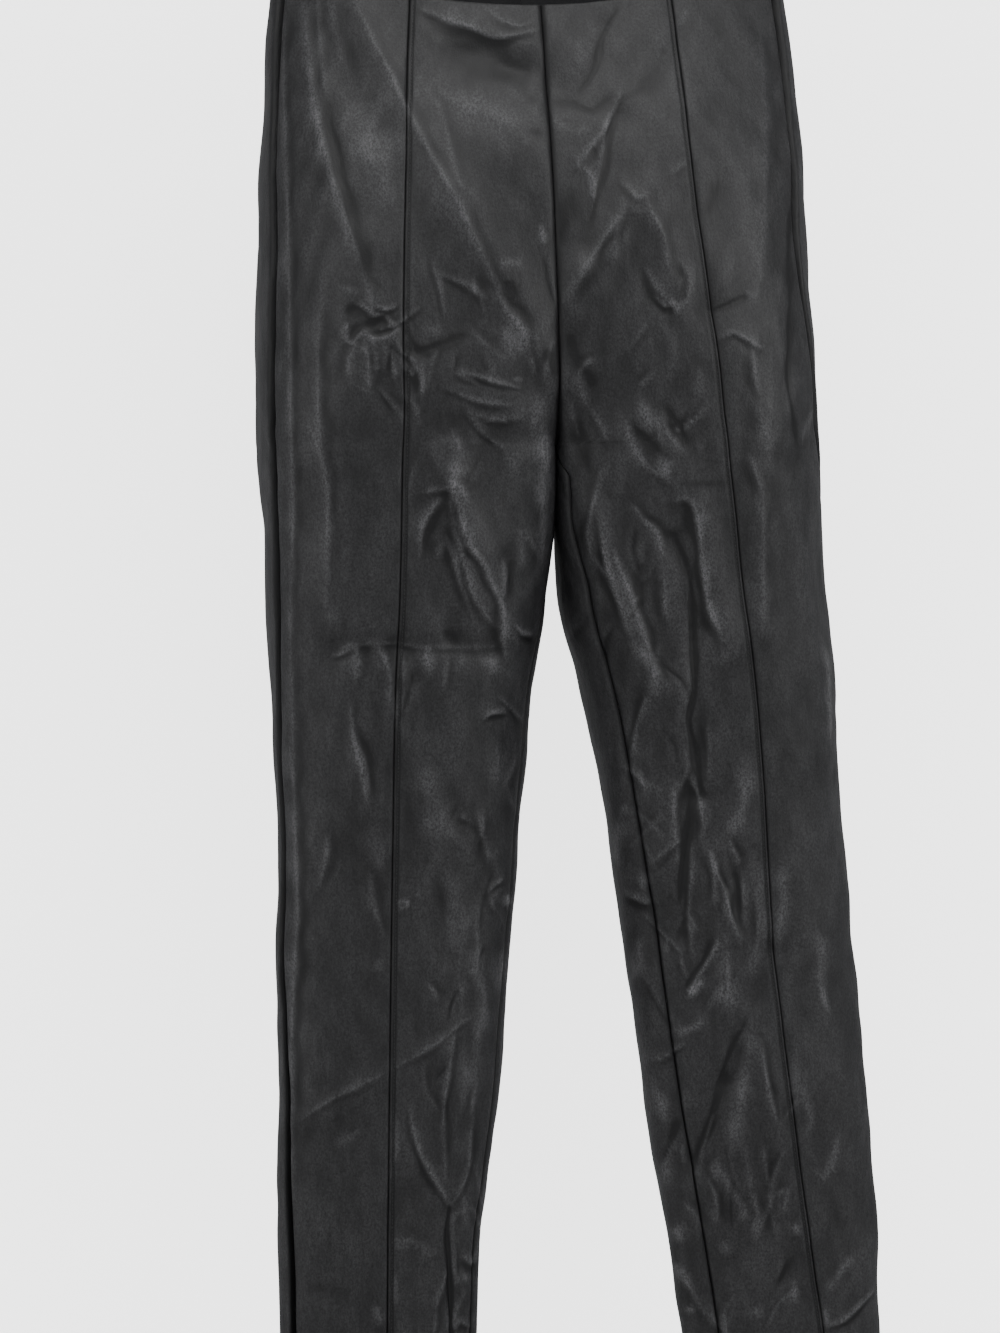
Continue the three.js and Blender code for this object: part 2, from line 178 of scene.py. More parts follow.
back_folds = [
    (-152, 288, -52, 334, 14, -2.6),
    (-150, 322, -60, 366, 13, 1.8),
    (54, 330, 148, 292, 14, -2.4),
    (58, 368, 150, 326, 13, 1.8),
    (-118, 40, -40, 170, 15, 1.8),
    (116, 46, 36, 190, 15, 1.8),
    (-24, 150, -70, 236, 14, -1.8),
    (26, 170, 76, 246, 14, -1.8),
    (-140, 420, -104, 540, 12, 2),
    (128, 430, 96, 548, 12, 2),
    (-160, 600, -62, 628, 10, -2),
    (-158, 640, -64, 650, 10, 1.8),
    (52, 622, 168, 606, 10, -2),
    (56, 650, 166, 642, 10, 1.8),
    (-166, 690, -84, 716, 10, -1.6),
    (66, 704, 168, 682, 10, -1.6),
    (-120, 740, -136, 860, 10, 1.4),
    (118, 750, 136, 868, 10, 1.4),
]

# finer creases: how far each stands out, how much painted highlight its crest gets (below 0: how much
# painted shade it gets), half width, which side its hollow is on (1 for the left of its path as seen from
# in front, -1 for the right, 0 for none), and its path of (x, down)
front_creases = [
    # hips, wearer's right
    (1.0, 0.30, 4.0, 1, [(-148, 10), (-147, 56), (-143, 104), (-133, 152), (-117, 212)]),
    (-0.9, -0.16, 5.0, 0, [(-138, 90), (-132, 127), (-126, 165), (-120, 202)]),
    (0.6, 0.20, 14.0, 0, [(-119, 84), (-111, 117), (-105, 154)]),
    (0.8, 0.18, 3.0, 1, [(-117, 21), (-102, 57), (-83, 106), (-63, 149), (-40, 203), (-24, 228)]),
    (0.4, 0.08, 9.0, 0, [(-86, 118), (-79, 138), (-64, 162), (-55, 181)]),
    (0.4, 0.12, 3.0, 1, [(-77, 78), (-68, 95), (-63, 126), (-59, 143)]),
    (0.8, 0.30, 3.6, -1, [(-77, 26), (-60, 34), (-46, 39), (-31, 46), (-16, 44), (-5, 42)]),
    (0.4, 0.20, 2.8, -1, [(-34, 28), (-25, 35), (-14, 39), (-6, 36)]),
    (-1.2, -0.24, 12.0, 0, [(-58, 50), (-40, 57), (-24, 66), (-8, 70)]),
    (0.6, 0.24, 11.0, 0, [(-76, 73), (-58, 87), (-35, 98), (-18, 103)]),
    (-0.3, -0.10, 3.5, 0, [(-13, 85), (-6, 89)]),
    (-0.3, -0.10, 3.5, 0, [(-14, 108), (-5, 111)]),
    (0.5, 0.25, 4.5, 0, [(-37, 192), (-30, 191), (-23, 192)]),
    (-0.4, -0.18, 4.5, 0, [(-31, 201), (-31, 214)]),
    (0.4, 0.30, 2.2, 0, [(-10, 167), (-8, 179)]),
    (0.4, 0.10, 4.5, 1, [(-133, 0), (-130, 40), (-122, 78)]),
    (0.4, 0.14, 2.6, 1, [(-139, 8), (-140, 43), (-138, 84)]),
    (0.4, 0.20, 2.4, 1, [(-161, 16), (-164, 110), (-167, 203), (-169, 284), (-170, 345), (-173, 420),
                         (-173, 458)]),
    (0.5, 0.24, 3.0, 1, [(-173, 440), (-174, 522), (-174, 585), (-179, 649), (-182, 712), (-184, 776)]),
    # the bunched cloth beside the wearer's right front seam
    (0.7, 0.38, 2.2, -1, [(-116, 215), (-108, 218), (-102, 215)]),
    (0.5, 0.26, 2.2, -1, [(-126, 213), (-120, 217), (-116, 221), (-110, 220)]),
    (0.9, 0.42, 2.4, 1, [(-131, 238), (-123, 231), (-117, 236), (-107, 234), (-100, 229)]),
    (0.7, 0.38, 2.2, 1, [(-109, 222), (-106, 226), (-102, 231)]),
    (0.6, 0.30, 2.2, 1, [(-133, 225), (-133, 235), (-128, 239)]),
    (-0.9, -0.38, 3.4, 0, [(-121, 225), (-117, 228), (-112, 225), (-108, 229)]),
    (-0.6, -0.26, 3.0, 0, [(-131, 221), (-127, 215)]),
    (0.5, 0.27, 2.4, 1, [(-122, 240), (-121, 253), (-121, 267)]),
    (0.4, 0.19, 2.2, 1, [(-109, 238), (-110, 247), (-112, 255)]),
    (0.5, 0.27, 2.2, -1, [(-106, 243), (-106, 251), (-105, 261)]),
    (0.4, 0.19, 2.8, -1, [(-129, 241), (-133, 247), (-134, 258)]),
    (0.3, 0.15, 3.0, 1, [(-117, 238), (-116, 251), (-119, 265)]),
    (0.7, 0.17, 3.4, 1, [(-146, 207), (-151, 232), (-152, 261), (-152, 295), (-148, 333), (-151, 400)]),
    (0.6, 0.32, 2.4, -1, [(-94, 253), (-89, 257), (-88, 265), (-89, 272)]),
    (0.4, 0.24, 2.0, -1, [(-97, 255), (-93, 260)]),
    (0.4, 0.19, 2.4, 1, [(-92, 278), (-92, 284), (-89, 290)]),
    # across towards the fork, wearer's right
    (-0.6, -0.25, 3.5, 0, [(-96, 244), (-85, 244), (-72, 240), (-59, 235)]),
    (0.3, 0.15, 6.0, 0, [(-88, 231), (-75, 233)]),
    (1.0, 0.40, 3.2, 1, [(-40, 208), (-34, 220), (-27, 228), (-20, 238)]),
    (0.5, 0.28, 7.0, 0, [(-38, 233), (-28, 240), (-22, 247)]),
    (-0.5, -0.35, 4.0, 0, [(-10, 245), (-6, 253), (-4, 263)]),
    (0.5, 0.26, 1.8, -1, [(-64, 257), (-50, 262), (-38, 266), (-26, 269)]),
    (0.4, 0.22, 2.2, -1, [(-67, 258), (-60, 262), (-54, 265)]),
    (0.4, 0.35, 1.9, 0, [(-30, 263), (-25, 264)]),
    (0.4, 0.20, 1.8, -1, [(-75, 267), (-60, 274), (-44, 278), (-30, 279)]),
    (0.4, 0.16, 1.8, -1, [(-58, 284), (-42, 288), (-24, 287)]),
    (0.6, 0.28, 7.0, 0, [(-17, 269), (-16, 286), (-14, 301), (-11, 316)]),
    (0.3, 0.25, 3.0, 0, [(-9, 298), (-8, 315), (-5, 332)]),
    # thigh, wearer's right
    (0.6, 0.26, 4.5, 1, [(-70, 295), (-66, 305), (-60, 310)]),
    (0.4, 0.14, 4.0, 0, [(-68, 310), (-70, 322), (-69, 330)]),
    (0.3, 0.10, 6.0, 0, [(-80, 295), (-79, 310), (-77, 322)]),
    (0.3, 0.10, 5.0, 0, [(-32, 307), (-31, 324)]),
    (0.5, 0.26, 2.8, 1, [(-73, 325), (-66, 330), (-62, 336)]),
    (0.4, 0.20, 2.8, -1, [(-88, 332), (-75, 330), (-69, 333)]),
    (1.0, 0.34, 2.7, -1, [(-72, 326), (-67, 343), (-62, 364), (-53, 378), (-47, 392), (-41, 405),
                          (-40, 425), (-37, 438)]),
    (0.7, 0.30, 2.8, 1, [(-39, 376), (-38, 385), (-40, 399)]),
    (0.6, 0.24, 2.2, -1, [(-73, 335), (-71, 350), (-68, 363), (-60, 394), (-54, 406), (-46, 417)]),
    (0.4, 0.21, 2.2, -1, [(-75, 360), (-71, 372), (-68, 385), (-60, 411)]),
    (0.7, 0.30, 3.0, 1, [(-79, 336), (-85, 344), (-91, 355), (-92, 371)]),
    (0.6, 0.38, 2.2, -1, [(-33, 416), (-27, 422), (-18, 423)]),
    (0.5, 0.21, 5.0, 0, [(-26, 356), (-26, 379)]),
    (0.4, 0.26, 4.0, 0, [(-10, 294), (-11, 338), (-12, 382)]),
    (0.35, 0.09, 1.8, -1, [(-146, 427), (-120, 425), (-88, 429), (-65, 430), (-43, 430)]),
    (0.3, 0.15, 2.2, 0, [(-68, 431), (-67, 437), (-70, 445)]),
    (0.5, 0.24, 3.5, 0, [(-93, 428), (-89, 436), (-88, 447)]),
    (0.6, 0.27, 4.0, 1, [(-122, 425), (-116, 435), (-113, 448), (-114, 464)]),
    (0.4, 0.24, 2.8, 0, [(-106, 431), (-105, 440), (-106, 448)]),
    (0.5, 0.26, 2.2, -1, [(-149, 432), (-143, 431), (-136, 426)]),
    (0.5, 0.22, 3.6, 1, [(-135, 424), (-133, 435), (-134, 447)]),
    (0.3, 0.15, 2.4, 0, [(-107, 454), (-109, 469), (-107, 484)]),
    (-0.4, -0.05, 5.0, 0, [(-99, 440), (-99, 454)]),
    (0.5, 0.26, 4.0, 0, [(-54, 438), (-47, 442), (-46, 448)]),
    (0.6, 0.38, 1.8, -1, [(-54, 476), (-49, 472), (-38, 471)]),
    # knee, wearer's right
    (0.8, 0.24, 2.4, 1, [(-138, 462), (-137, 480), (-133, 498), (-129, 525)]),
    (0.4, 0.20, 2.4, 1, [(-132, 492), (-129, 506), (-128, 519)]),
    (0.5, 0.17, 3.2, 1, [(-154, 543), (-155, 556), (-158, 568), (-161, 579)]),
    (0.4, 0.10, 6.0, 0, [(-125, 540), (-123, 557), (-126, 569)]),
    (0.4, 0.13, 2.8, 1, [(-129, 569), (-128, 586), (-124, 601), (-121, 612)]),
    (0.3, 0.14, 2.6, 0, [(-125, 624), (-126, 633)]),
    (0.5, 0.29, 1.5, 0, [(-113, 590), (-108, 588), (-106, 591), (-112, 593)]),
    (0.6, 0.11, 7.0, 0, [(-94, 503), (-89, 518), (-91, 533), (-89, 550)]),
    (0.6, 0.11, 7.0, 0, [(-85, 524), (-81, 542), (-69, 555), (-66, 568)]),
    (0.6, 0.12, 8.0, 0, [(-79, 572), (-77, 589), (-74, 625), (-70, 640)]),
    (0.6, 0.18, 3.0, -1, [(-60, 534), (-55, 552), (-51, 567)]),
    (-0.5, -0.05, 9.0, 0, [(-104, 517), (-104, 541), (-107, 566)]),
    (-0.4, -0.08, 5.5, 0, [(-87, 571), (-84, 592), (-82, 614)]),
    (0.5, 0.21, 2.2, -1, [(-53, 586), (-48, 581), (-41, 578)]),
    (0.5, 0.35, 2.2, 0, [(-40, 588), (-39, 596)]),
    (0.4, 0.15, 2.4, -1, [(-48, 585), (-51, 593), (-47, 599)]),
    (0.3, 0.12, 4.5, 0, [(-45, 491), (-44, 504), (-47, 516)]),
    (0.5, 0.15, 3.6, 0, [(-62, 607), (-61, 620), (-63, 632), (-59, 650)]),
    (0.4, 0.18, 3.6, 0, [(-44, 623), (-46, 638), (-47, 651)]),
    # calf, wearer's right
    (0.4, 0.11, 1.9, -1, [(-177, 725), (-162, 715), (-145, 706), (-124, 697)]),
    (0.4, 0.13, 1.9, -1, [(-118, 694), (-108, 689), (-91, 680), (-73, 668), (-64, 663)]),
    (0.5, 0.17, 2.0, 1, [(-78, 671), (-82, 693), (-87, 725), (-87, 767)]),
    (0.6, 0.21, 2.1, -1, [(-109, 718), (-107, 733), (-102, 751), (-84, 785)]),
    (0.3, 0.13, 3.0, 0, [(-119, 722), (-118, 743), (-122, 765)]),
    (0.5, 0.18, 2.2, 1, [(-67, 726), (-70, 743), (-71, 760), (-76, 773), (-83, 785)]),
    (0.4, 0.19, 3.8, 0, [(-59, 641), (-58, 658), (-62, 679), (-65, 701), (-66, 722)]),
    (0.4, 0.15, 3.8, 0, [(-71, 678), (-72, 704), (-75, 723)]),
    (0.3, 0.15, 2.8, 0, [(-72, 640), (-73, 653), (-73, 663)]),
    (-2.4, -0.45, 2.0, 0, [(-84, 786), (-86, 802), (-85, 824), (-85, 866), (-88, 950), (-92, 1005)]),
    (0.4, 0.15, 2.4, 0, [(-81, 790), (-83, 811), (-83, 833)]),
    (0.5, 0.18, 5.5, 0, [(-120, 808), (-111, 805), (-101, 812), (-97, 818)]),
    (0.3, 0.15, 2.8, 0, [(-121, 825), (-121, 846)]),
    (0.5, 0.26, 2.2, -1, [(-75, 818), (-70, 823), (-67, 820)]),
    (0.4, 0.22, 4.5, 0, [(-80, 833), (-73, 832)]),
    (0.5, 0.26, 2.4, -1, [(-83, 865), (-79, 860), (-71, 865)]),
    (0.3, 0.14, 2.8, 0, [(-74, 779), (-73, 803)]),
    (-0.3, -0.04, 7.0, 0, [(-180, 831), (-164, 834), (-149, 836)]),
    (0.3, 0.19, 1.8, 0, [(-187, 840), (-186, 857)]),
    (0.3, 0.11, 2.8, 0, [(-156, 742), (-146, 736), (-140, 732)]),
    (0.3, 0.14, 2.8, 0, [(-135, 845), (-130, 858)]),
    (0.7, 0.15, 4.0, 1, [(-170, 905), (-140, 912), (-112, 908)]),
    (-0.7, -0.15, 4.0, 0, [(-172, 925), (-140, 934), (-106, 930)]),
    (0.8, 0.17, 4.0, 1, [(-182, 960), (-150, 974), (-118, 968)]),
    # hips, wearer's left
    (-1.0, -0.17, 2.2, 0, [(50, 28), (38, 47), (31, 69), (20, 84)]),
    (0.4, 0.12, 7.0, 0, [(37, 37), (27, 56), (19, 75)]),
    (-0.6, -0.12, 3.4, 0, [(1, 89), (17, 91), (28, 96), (40, 86)]),
    (0.3, 0.10, 5.0, 0, [(0, 99), (14, 109), (27, 107)]),
    (0.7, 0.26, 2.4, 1, [(47, 83), (36, 105), (26, 117), (15, 130)]),
    (-0.8, -0.17, 1.7, 0, [(43, 96), (37, 115), (34, 132), (29, 145), (22, 170)]),
    (0.4, 0.17, 2.4, 1, [(38, 98), (33, 116), (29, 134), (24, 150)]),
    (0.4, 0.21, 2.4, 0, [(15, 130), (24, 136), (25, 153)]),
    (0.9, 0.23, 3.6, 1, [(42, 160), (33, 172), (19, 193), (5, 214)]),
    (-0.5, -0.17, 7.0, 0, [(13, 144), (7, 161), (2, 182)]),
    (0.5, 0.18, 2.8, -1, [(44, 141), (52, 152), (60, 148)]),
    (0.6, 0.17, 3.2, 1, [(57, 150), (61, 162), (67, 175), (70, 197)]),
    (0.6, 0.20, 2.8, -1, [(56, 196), (63, 210), (72, 220)]),
    (-0.5, -0.09, 8.0, 0, [(73, 66), (61, 81), (50, 89)]),
    (-0.3, -0.10, 3.6, 0, [(76, 54), (77, 60)]),
    (-0.4, -0.12, 3.6, 0, [(26, 119), (29, 128)]),
    (0.3, 0.17, 2.2, 0, [(95, 28), (88, 41)]),
    (0.4, 0.19, 2.2, -1, [(75, 137), (81, 132), (86, 130)]),
    (-0.3, -0.10, 5.0, 0, [(106, 141), (97, 163)]),
    (-0.7, -0.15, 2.2, 0, [(95, 225), (108, 221), (124, 214)]),
    (0.4, 0.19, 4.0, 0, [(120, 213), (128, 217)]),
    (0.3, 0.09, 5.0, 1, [(143, 36), (142, 88), (137, 154), (128, 217)]),
    (-0.4, -0.21, 2.0, 0, [(160, 146), (154, 174), (151, 217)]),
    # about the fork, wearer's left
    (0.7, 0.34, 2.8, -1, [(61, 214), (67, 220), (72, 219), (75, 225)]),
    (-0.5, -0.15, 5.0, 0, [(5, 235), (10, 250), (17, 262), (20, 270)]),
    (0.3, 0.14, 3.0, 0, [(11, 262), (14, 270), (17, 280)]),
    (0.3, 0.14, 4.5, 0, [(72, 234), (71, 252), (69, 268)]),
    (0.3, 0.10, 3.0, 0, [(88, 258), (86, 277)]),
    (0.6, 0.20, 2.3, -1, [(101, 242), (110, 238), (118, 242), (131, 249)]),
    (0.5, 0.20, 3.2, -1, [(122, 248), (124, 265), (126, 278)]),
    (0.5, 0.20, 3.6, 0, [(124, 283), (130, 301), (130, 316)]),
    (0.5, 0.24, 3.6, -1, [(120, 316), (123, 328), (127, 339)]),
    (-0.5, -0.21, 2.2, 0, [(152, 211), (149, 245), (147, 266), (150, 295), (153, 310)]),
    (0.4, 0.20, 2.8, 0, [(156, 305), (162, 295), (167, 286)]),
    (-0.6, -0.10, 3.6, 0, [(9, 286), (11, 299), (15, 312), (19, 325)]),
    # thigh, wearer's left
    (0.5, 0.18, 3.6, 0, [(50, 278), (54, 290), (60, 298)]),
    (0.6, 0.24, 3.2, 1, [(63, 287), (66, 298), (77, 314)]),
    (0.7, 0.22, 4.2, 1, [(40, 292), (45, 307), (53, 320), (62, 327)]),
    (0.4, 0.30, 3.6, 0, [(63, 316), (65, 327)]),
    (-0.6, -0.08, 3.0, 0, [(42, 290), (50, 301), (60, 310), (68, 316)]),
    (0.8, 0.28, 2.6, -1, [(24, 348), (26, 360), (28, 379), (34, 401), (38, 413), (41, 425)]),
    (0.9, 0.30, 2.6, 1, [(33, 374), (42, 399), (47, 416), (53, 435), (58, 459)]),
    (0.3, 0.14, 5.0, 0, [(30, 372), (38, 400), (46, 425)]),
    (0.6, 0.38, 4.0, 0, [(46, 433), (52, 441), (57, 453), (56, 460)]),
    (0.6, 0.30, 2.4, -1, [(52, 465), (48, 475), (44, 488), (43, 503)]),
    (0.7, 0.34, 3.0, 1, [(44, 344), (51, 354), (56, 358), (60, 365), (62, 376)]),
    (1.0, 0.42, 2.8, -1, [(71, 342), (76, 341), (82, 345), (85, 358), (86, 372), (90, 405), (95, 421),
                          (100, 433)]),
    (-1.8, -0.45, 1.7, 0, [(69, 364), (76, 381), (80, 399), (81, 440), (81, 463), (77, 480), (80, 500),
                           (85, 530)]),
    (0.4, 0.22, 2.8, -1, [(26, 320), (21, 340), (18, 359), (19, 379)]),
    (0.5, 0.16, 4.0, 1, [(127, 340), (126, 380), (126, 426)]),
    (-0.2, -0.06, 2.4, 0, [(66, 332), (88, 333), (108, 333)]),
    (0.5, 0.35, 2.8, 0, [(168, 438), (171, 451), (171, 468), (172, 498)]),
    # knee, wearer's left
    (0.5, 0.22, 2.6, 1, [(75, 500), (76, 515), (68, 527), (67, 549), (67, 561)]),
    (0.7, 0.29, 2.8, -1, [(78, 517), (83, 532), (85, 549), (83, 557)]),
    (-1.4, -0.26, 2.4, 0, [(76, 525), (76, 549), (72, 574), (69, 598)]),
    (0.4, 0.22, 2.8, -1, [(53, 572), (61, 565), (70, 557)]),
    (0.2, 0.10, 3.0, 0, [(45, 518), (53, 522), (62, 527)]),
    (0.5, 0.26, 2.2, -1, [(78, 562), (77, 583), (75, 600), (76, 622), (77, 634)]),
    (0.8, 0.31, 2.2, 1, [(90, 566), (93, 579), (98, 592), (101, 607), (107, 622)]),
    (0.5, 0.29, 2.8, -1, [(90, 566), (91, 579), (91, 598)]),
    (0.7, 0.26, 6.0, 0, [(99, 556), (105, 550), (110, 541), (113, 524), (115, 514)]),
    (0.5, 0.32, 2.8, 1, [(101, 558), (105, 567), (108, 575)]),
    (-1.0, -0.19, 3.4, 0, [(104, 579), (106, 592), (105, 607)]),
    (0.4, 0.22, 2.8, -1, [(110, 580), (110, 601), (110, 614)]),
    (0.3, 0.14, 5.5, 0, [(112, 567), (118, 580), (120, 602)]),
    (0.8, 0.38, 2.2, 1, [(74, 657), (80, 645), (88, 633), (93, 622)]),
    (0.4, 0.22, 5.5, 0, [(97, 628), (98, 643), (98, 657)]),
    (0.3, 0.12, 4.0, 0, [(122, 602), (124, 615), (117, 636), (111, 648)]),
    (0.4, 0.20, 3.6, 0, [(135, 577), (136, 601), (133, 619), (133, 637)]),
    (0.4, 0.22, 3.6, 0, [(160, 621), (161, 639), (159, 653)]),
    (0.4, 0.24, 2.6, 0, [(36, 544), (34, 557), (35, 570)]),
    (0.4, 0.32, 2.2, 0, [(39, 533), (37, 541)]),
    (0.5, 0.31, 2.2, -1, [(38, 591), (45, 595), (52, 597)]),
    (0.3, 0.22, 3.5, 0, [(47, 578), (48, 589)]),
    (0.3, 0.24, 3.6, 0, [(44, 621), (44, 636), (45, 645)]),
    # calf, wearer's left
    (0.5, 0.25, 3.6, 0, [(51, 708), (52, 718), (56, 727), (58, 740)]),
    (-0.5, -0.27, 2.0, 0, [(57, 764), (61, 751), (65, 738)]),
    (0.4, 0.22, 2.8, 0, [(63, 751), (59, 764), (58, 781)]),
    (0.3, 0.22, 2.4, 0, [(67, 755), (68, 768)]),
    (0.3, 0.29, 3.6, 0, [(64, 807), (65, 818)]),
    (0.5, 0.34, 3.4, 0, [(62, 832), (68, 842), (71, 849)]),
    (0.5, 0.36, 2.8, 0, [(69, 860), (72, 864)]),
    (0.8, 0.45, 2.1, 0, [(74, 658), (79, 652), (83, 648)]),
    (0.4, 0.20, 7.0, 0, [(92, 652), (99, 661), (106, 665)]),
    (0.4, 0.22, 2.8, 0, [(64, 681), (75, 679), (83, 673)]),
    (-0.7, -0.13, 2.0, 0, [(110, 674), (104, 687), (95, 710), (86, 734), (75, 764)]),
    (0.4, 0.25, 1.8, -1, [(106, 684), (97, 704), (90, 721)]),
    (0.4, 0.25, 1.8, 1, [(87, 733), (82, 751), (77, 764)]),
    (0.7, 0.16, 5.5, 0, [(114, 672), (110, 695), (105, 723), (100, 742), (96, 764)]),
    (0.6, 0.27, 2.0, 1, [(118, 687), (121, 709), (125, 731), (128, 744)]),
    (0.4, 0.16, 3.6, 0, [(106, 751), (108, 769), (110, 786)]),
    (0.5, 0.29, 3.6, 0, [(98, 786), (104, 795), (105, 805)]),
    (0.4, 0.23, 2.8, 0, [(110, 786), (114, 799), (112, 817)]),
    (0.4, 0.23, 2.8, 0, [(126, 789), (133, 787), (132, 800)]),
    (0.4, 0.29, 2.6, 0, [(138, 809), (141, 816)]),
    (0.5, 0.27, 2.8, 0, [(159, 653), (162, 663), (165, 673)]),
    (0.3, 0.16, 3.6, 0, [(142, 691), (141, 715), (150, 737), (147, 754), (153, 771)]),
    (0.3, 0.20, 2.8, 0, [(169, 754), (165, 769), (159, 779), (152, 774)]),
    (0.5, 0.22, 2.8, 0, [(176, 832), (169, 840), (159, 853)]),
    (0.8, 0.32, 2.1, 1, [(192, 856), (182, 864), (170, 873), (159, 876)]),
    (0.4, 0.27, 2.8, 0, [(157, 865), (158, 876)]),
    (-0.3, -0.06, 3.6, 0, [(138, 829), (128, 843), (121, 856)]),
    (0.4, 0.27, 3.2, 0, [(136, 844), (137, 853), (136, 860)]),
    (0.3, 0.16, 4.5, 0, [(111, 860), (112, 869)]),
    (0.3, 0.18, 3.0, 0, [(89, 768), (94, 777), (98, 786)]),
    (0.2, 0.13, 3.6, 0, [(91, 816), (94, 827)]),
    (0.7, 0.18, 4.0, 1, [(112, 905), (140, 914), (172, 906)]),
    (-0.7, -0.18, 4.0, 0, [(108, 930), (140, 936), (176, 928)]),
    (0.8, 0.20, 4.0, 1, [(116, 966), (150, 976), (184, 964)]),
]
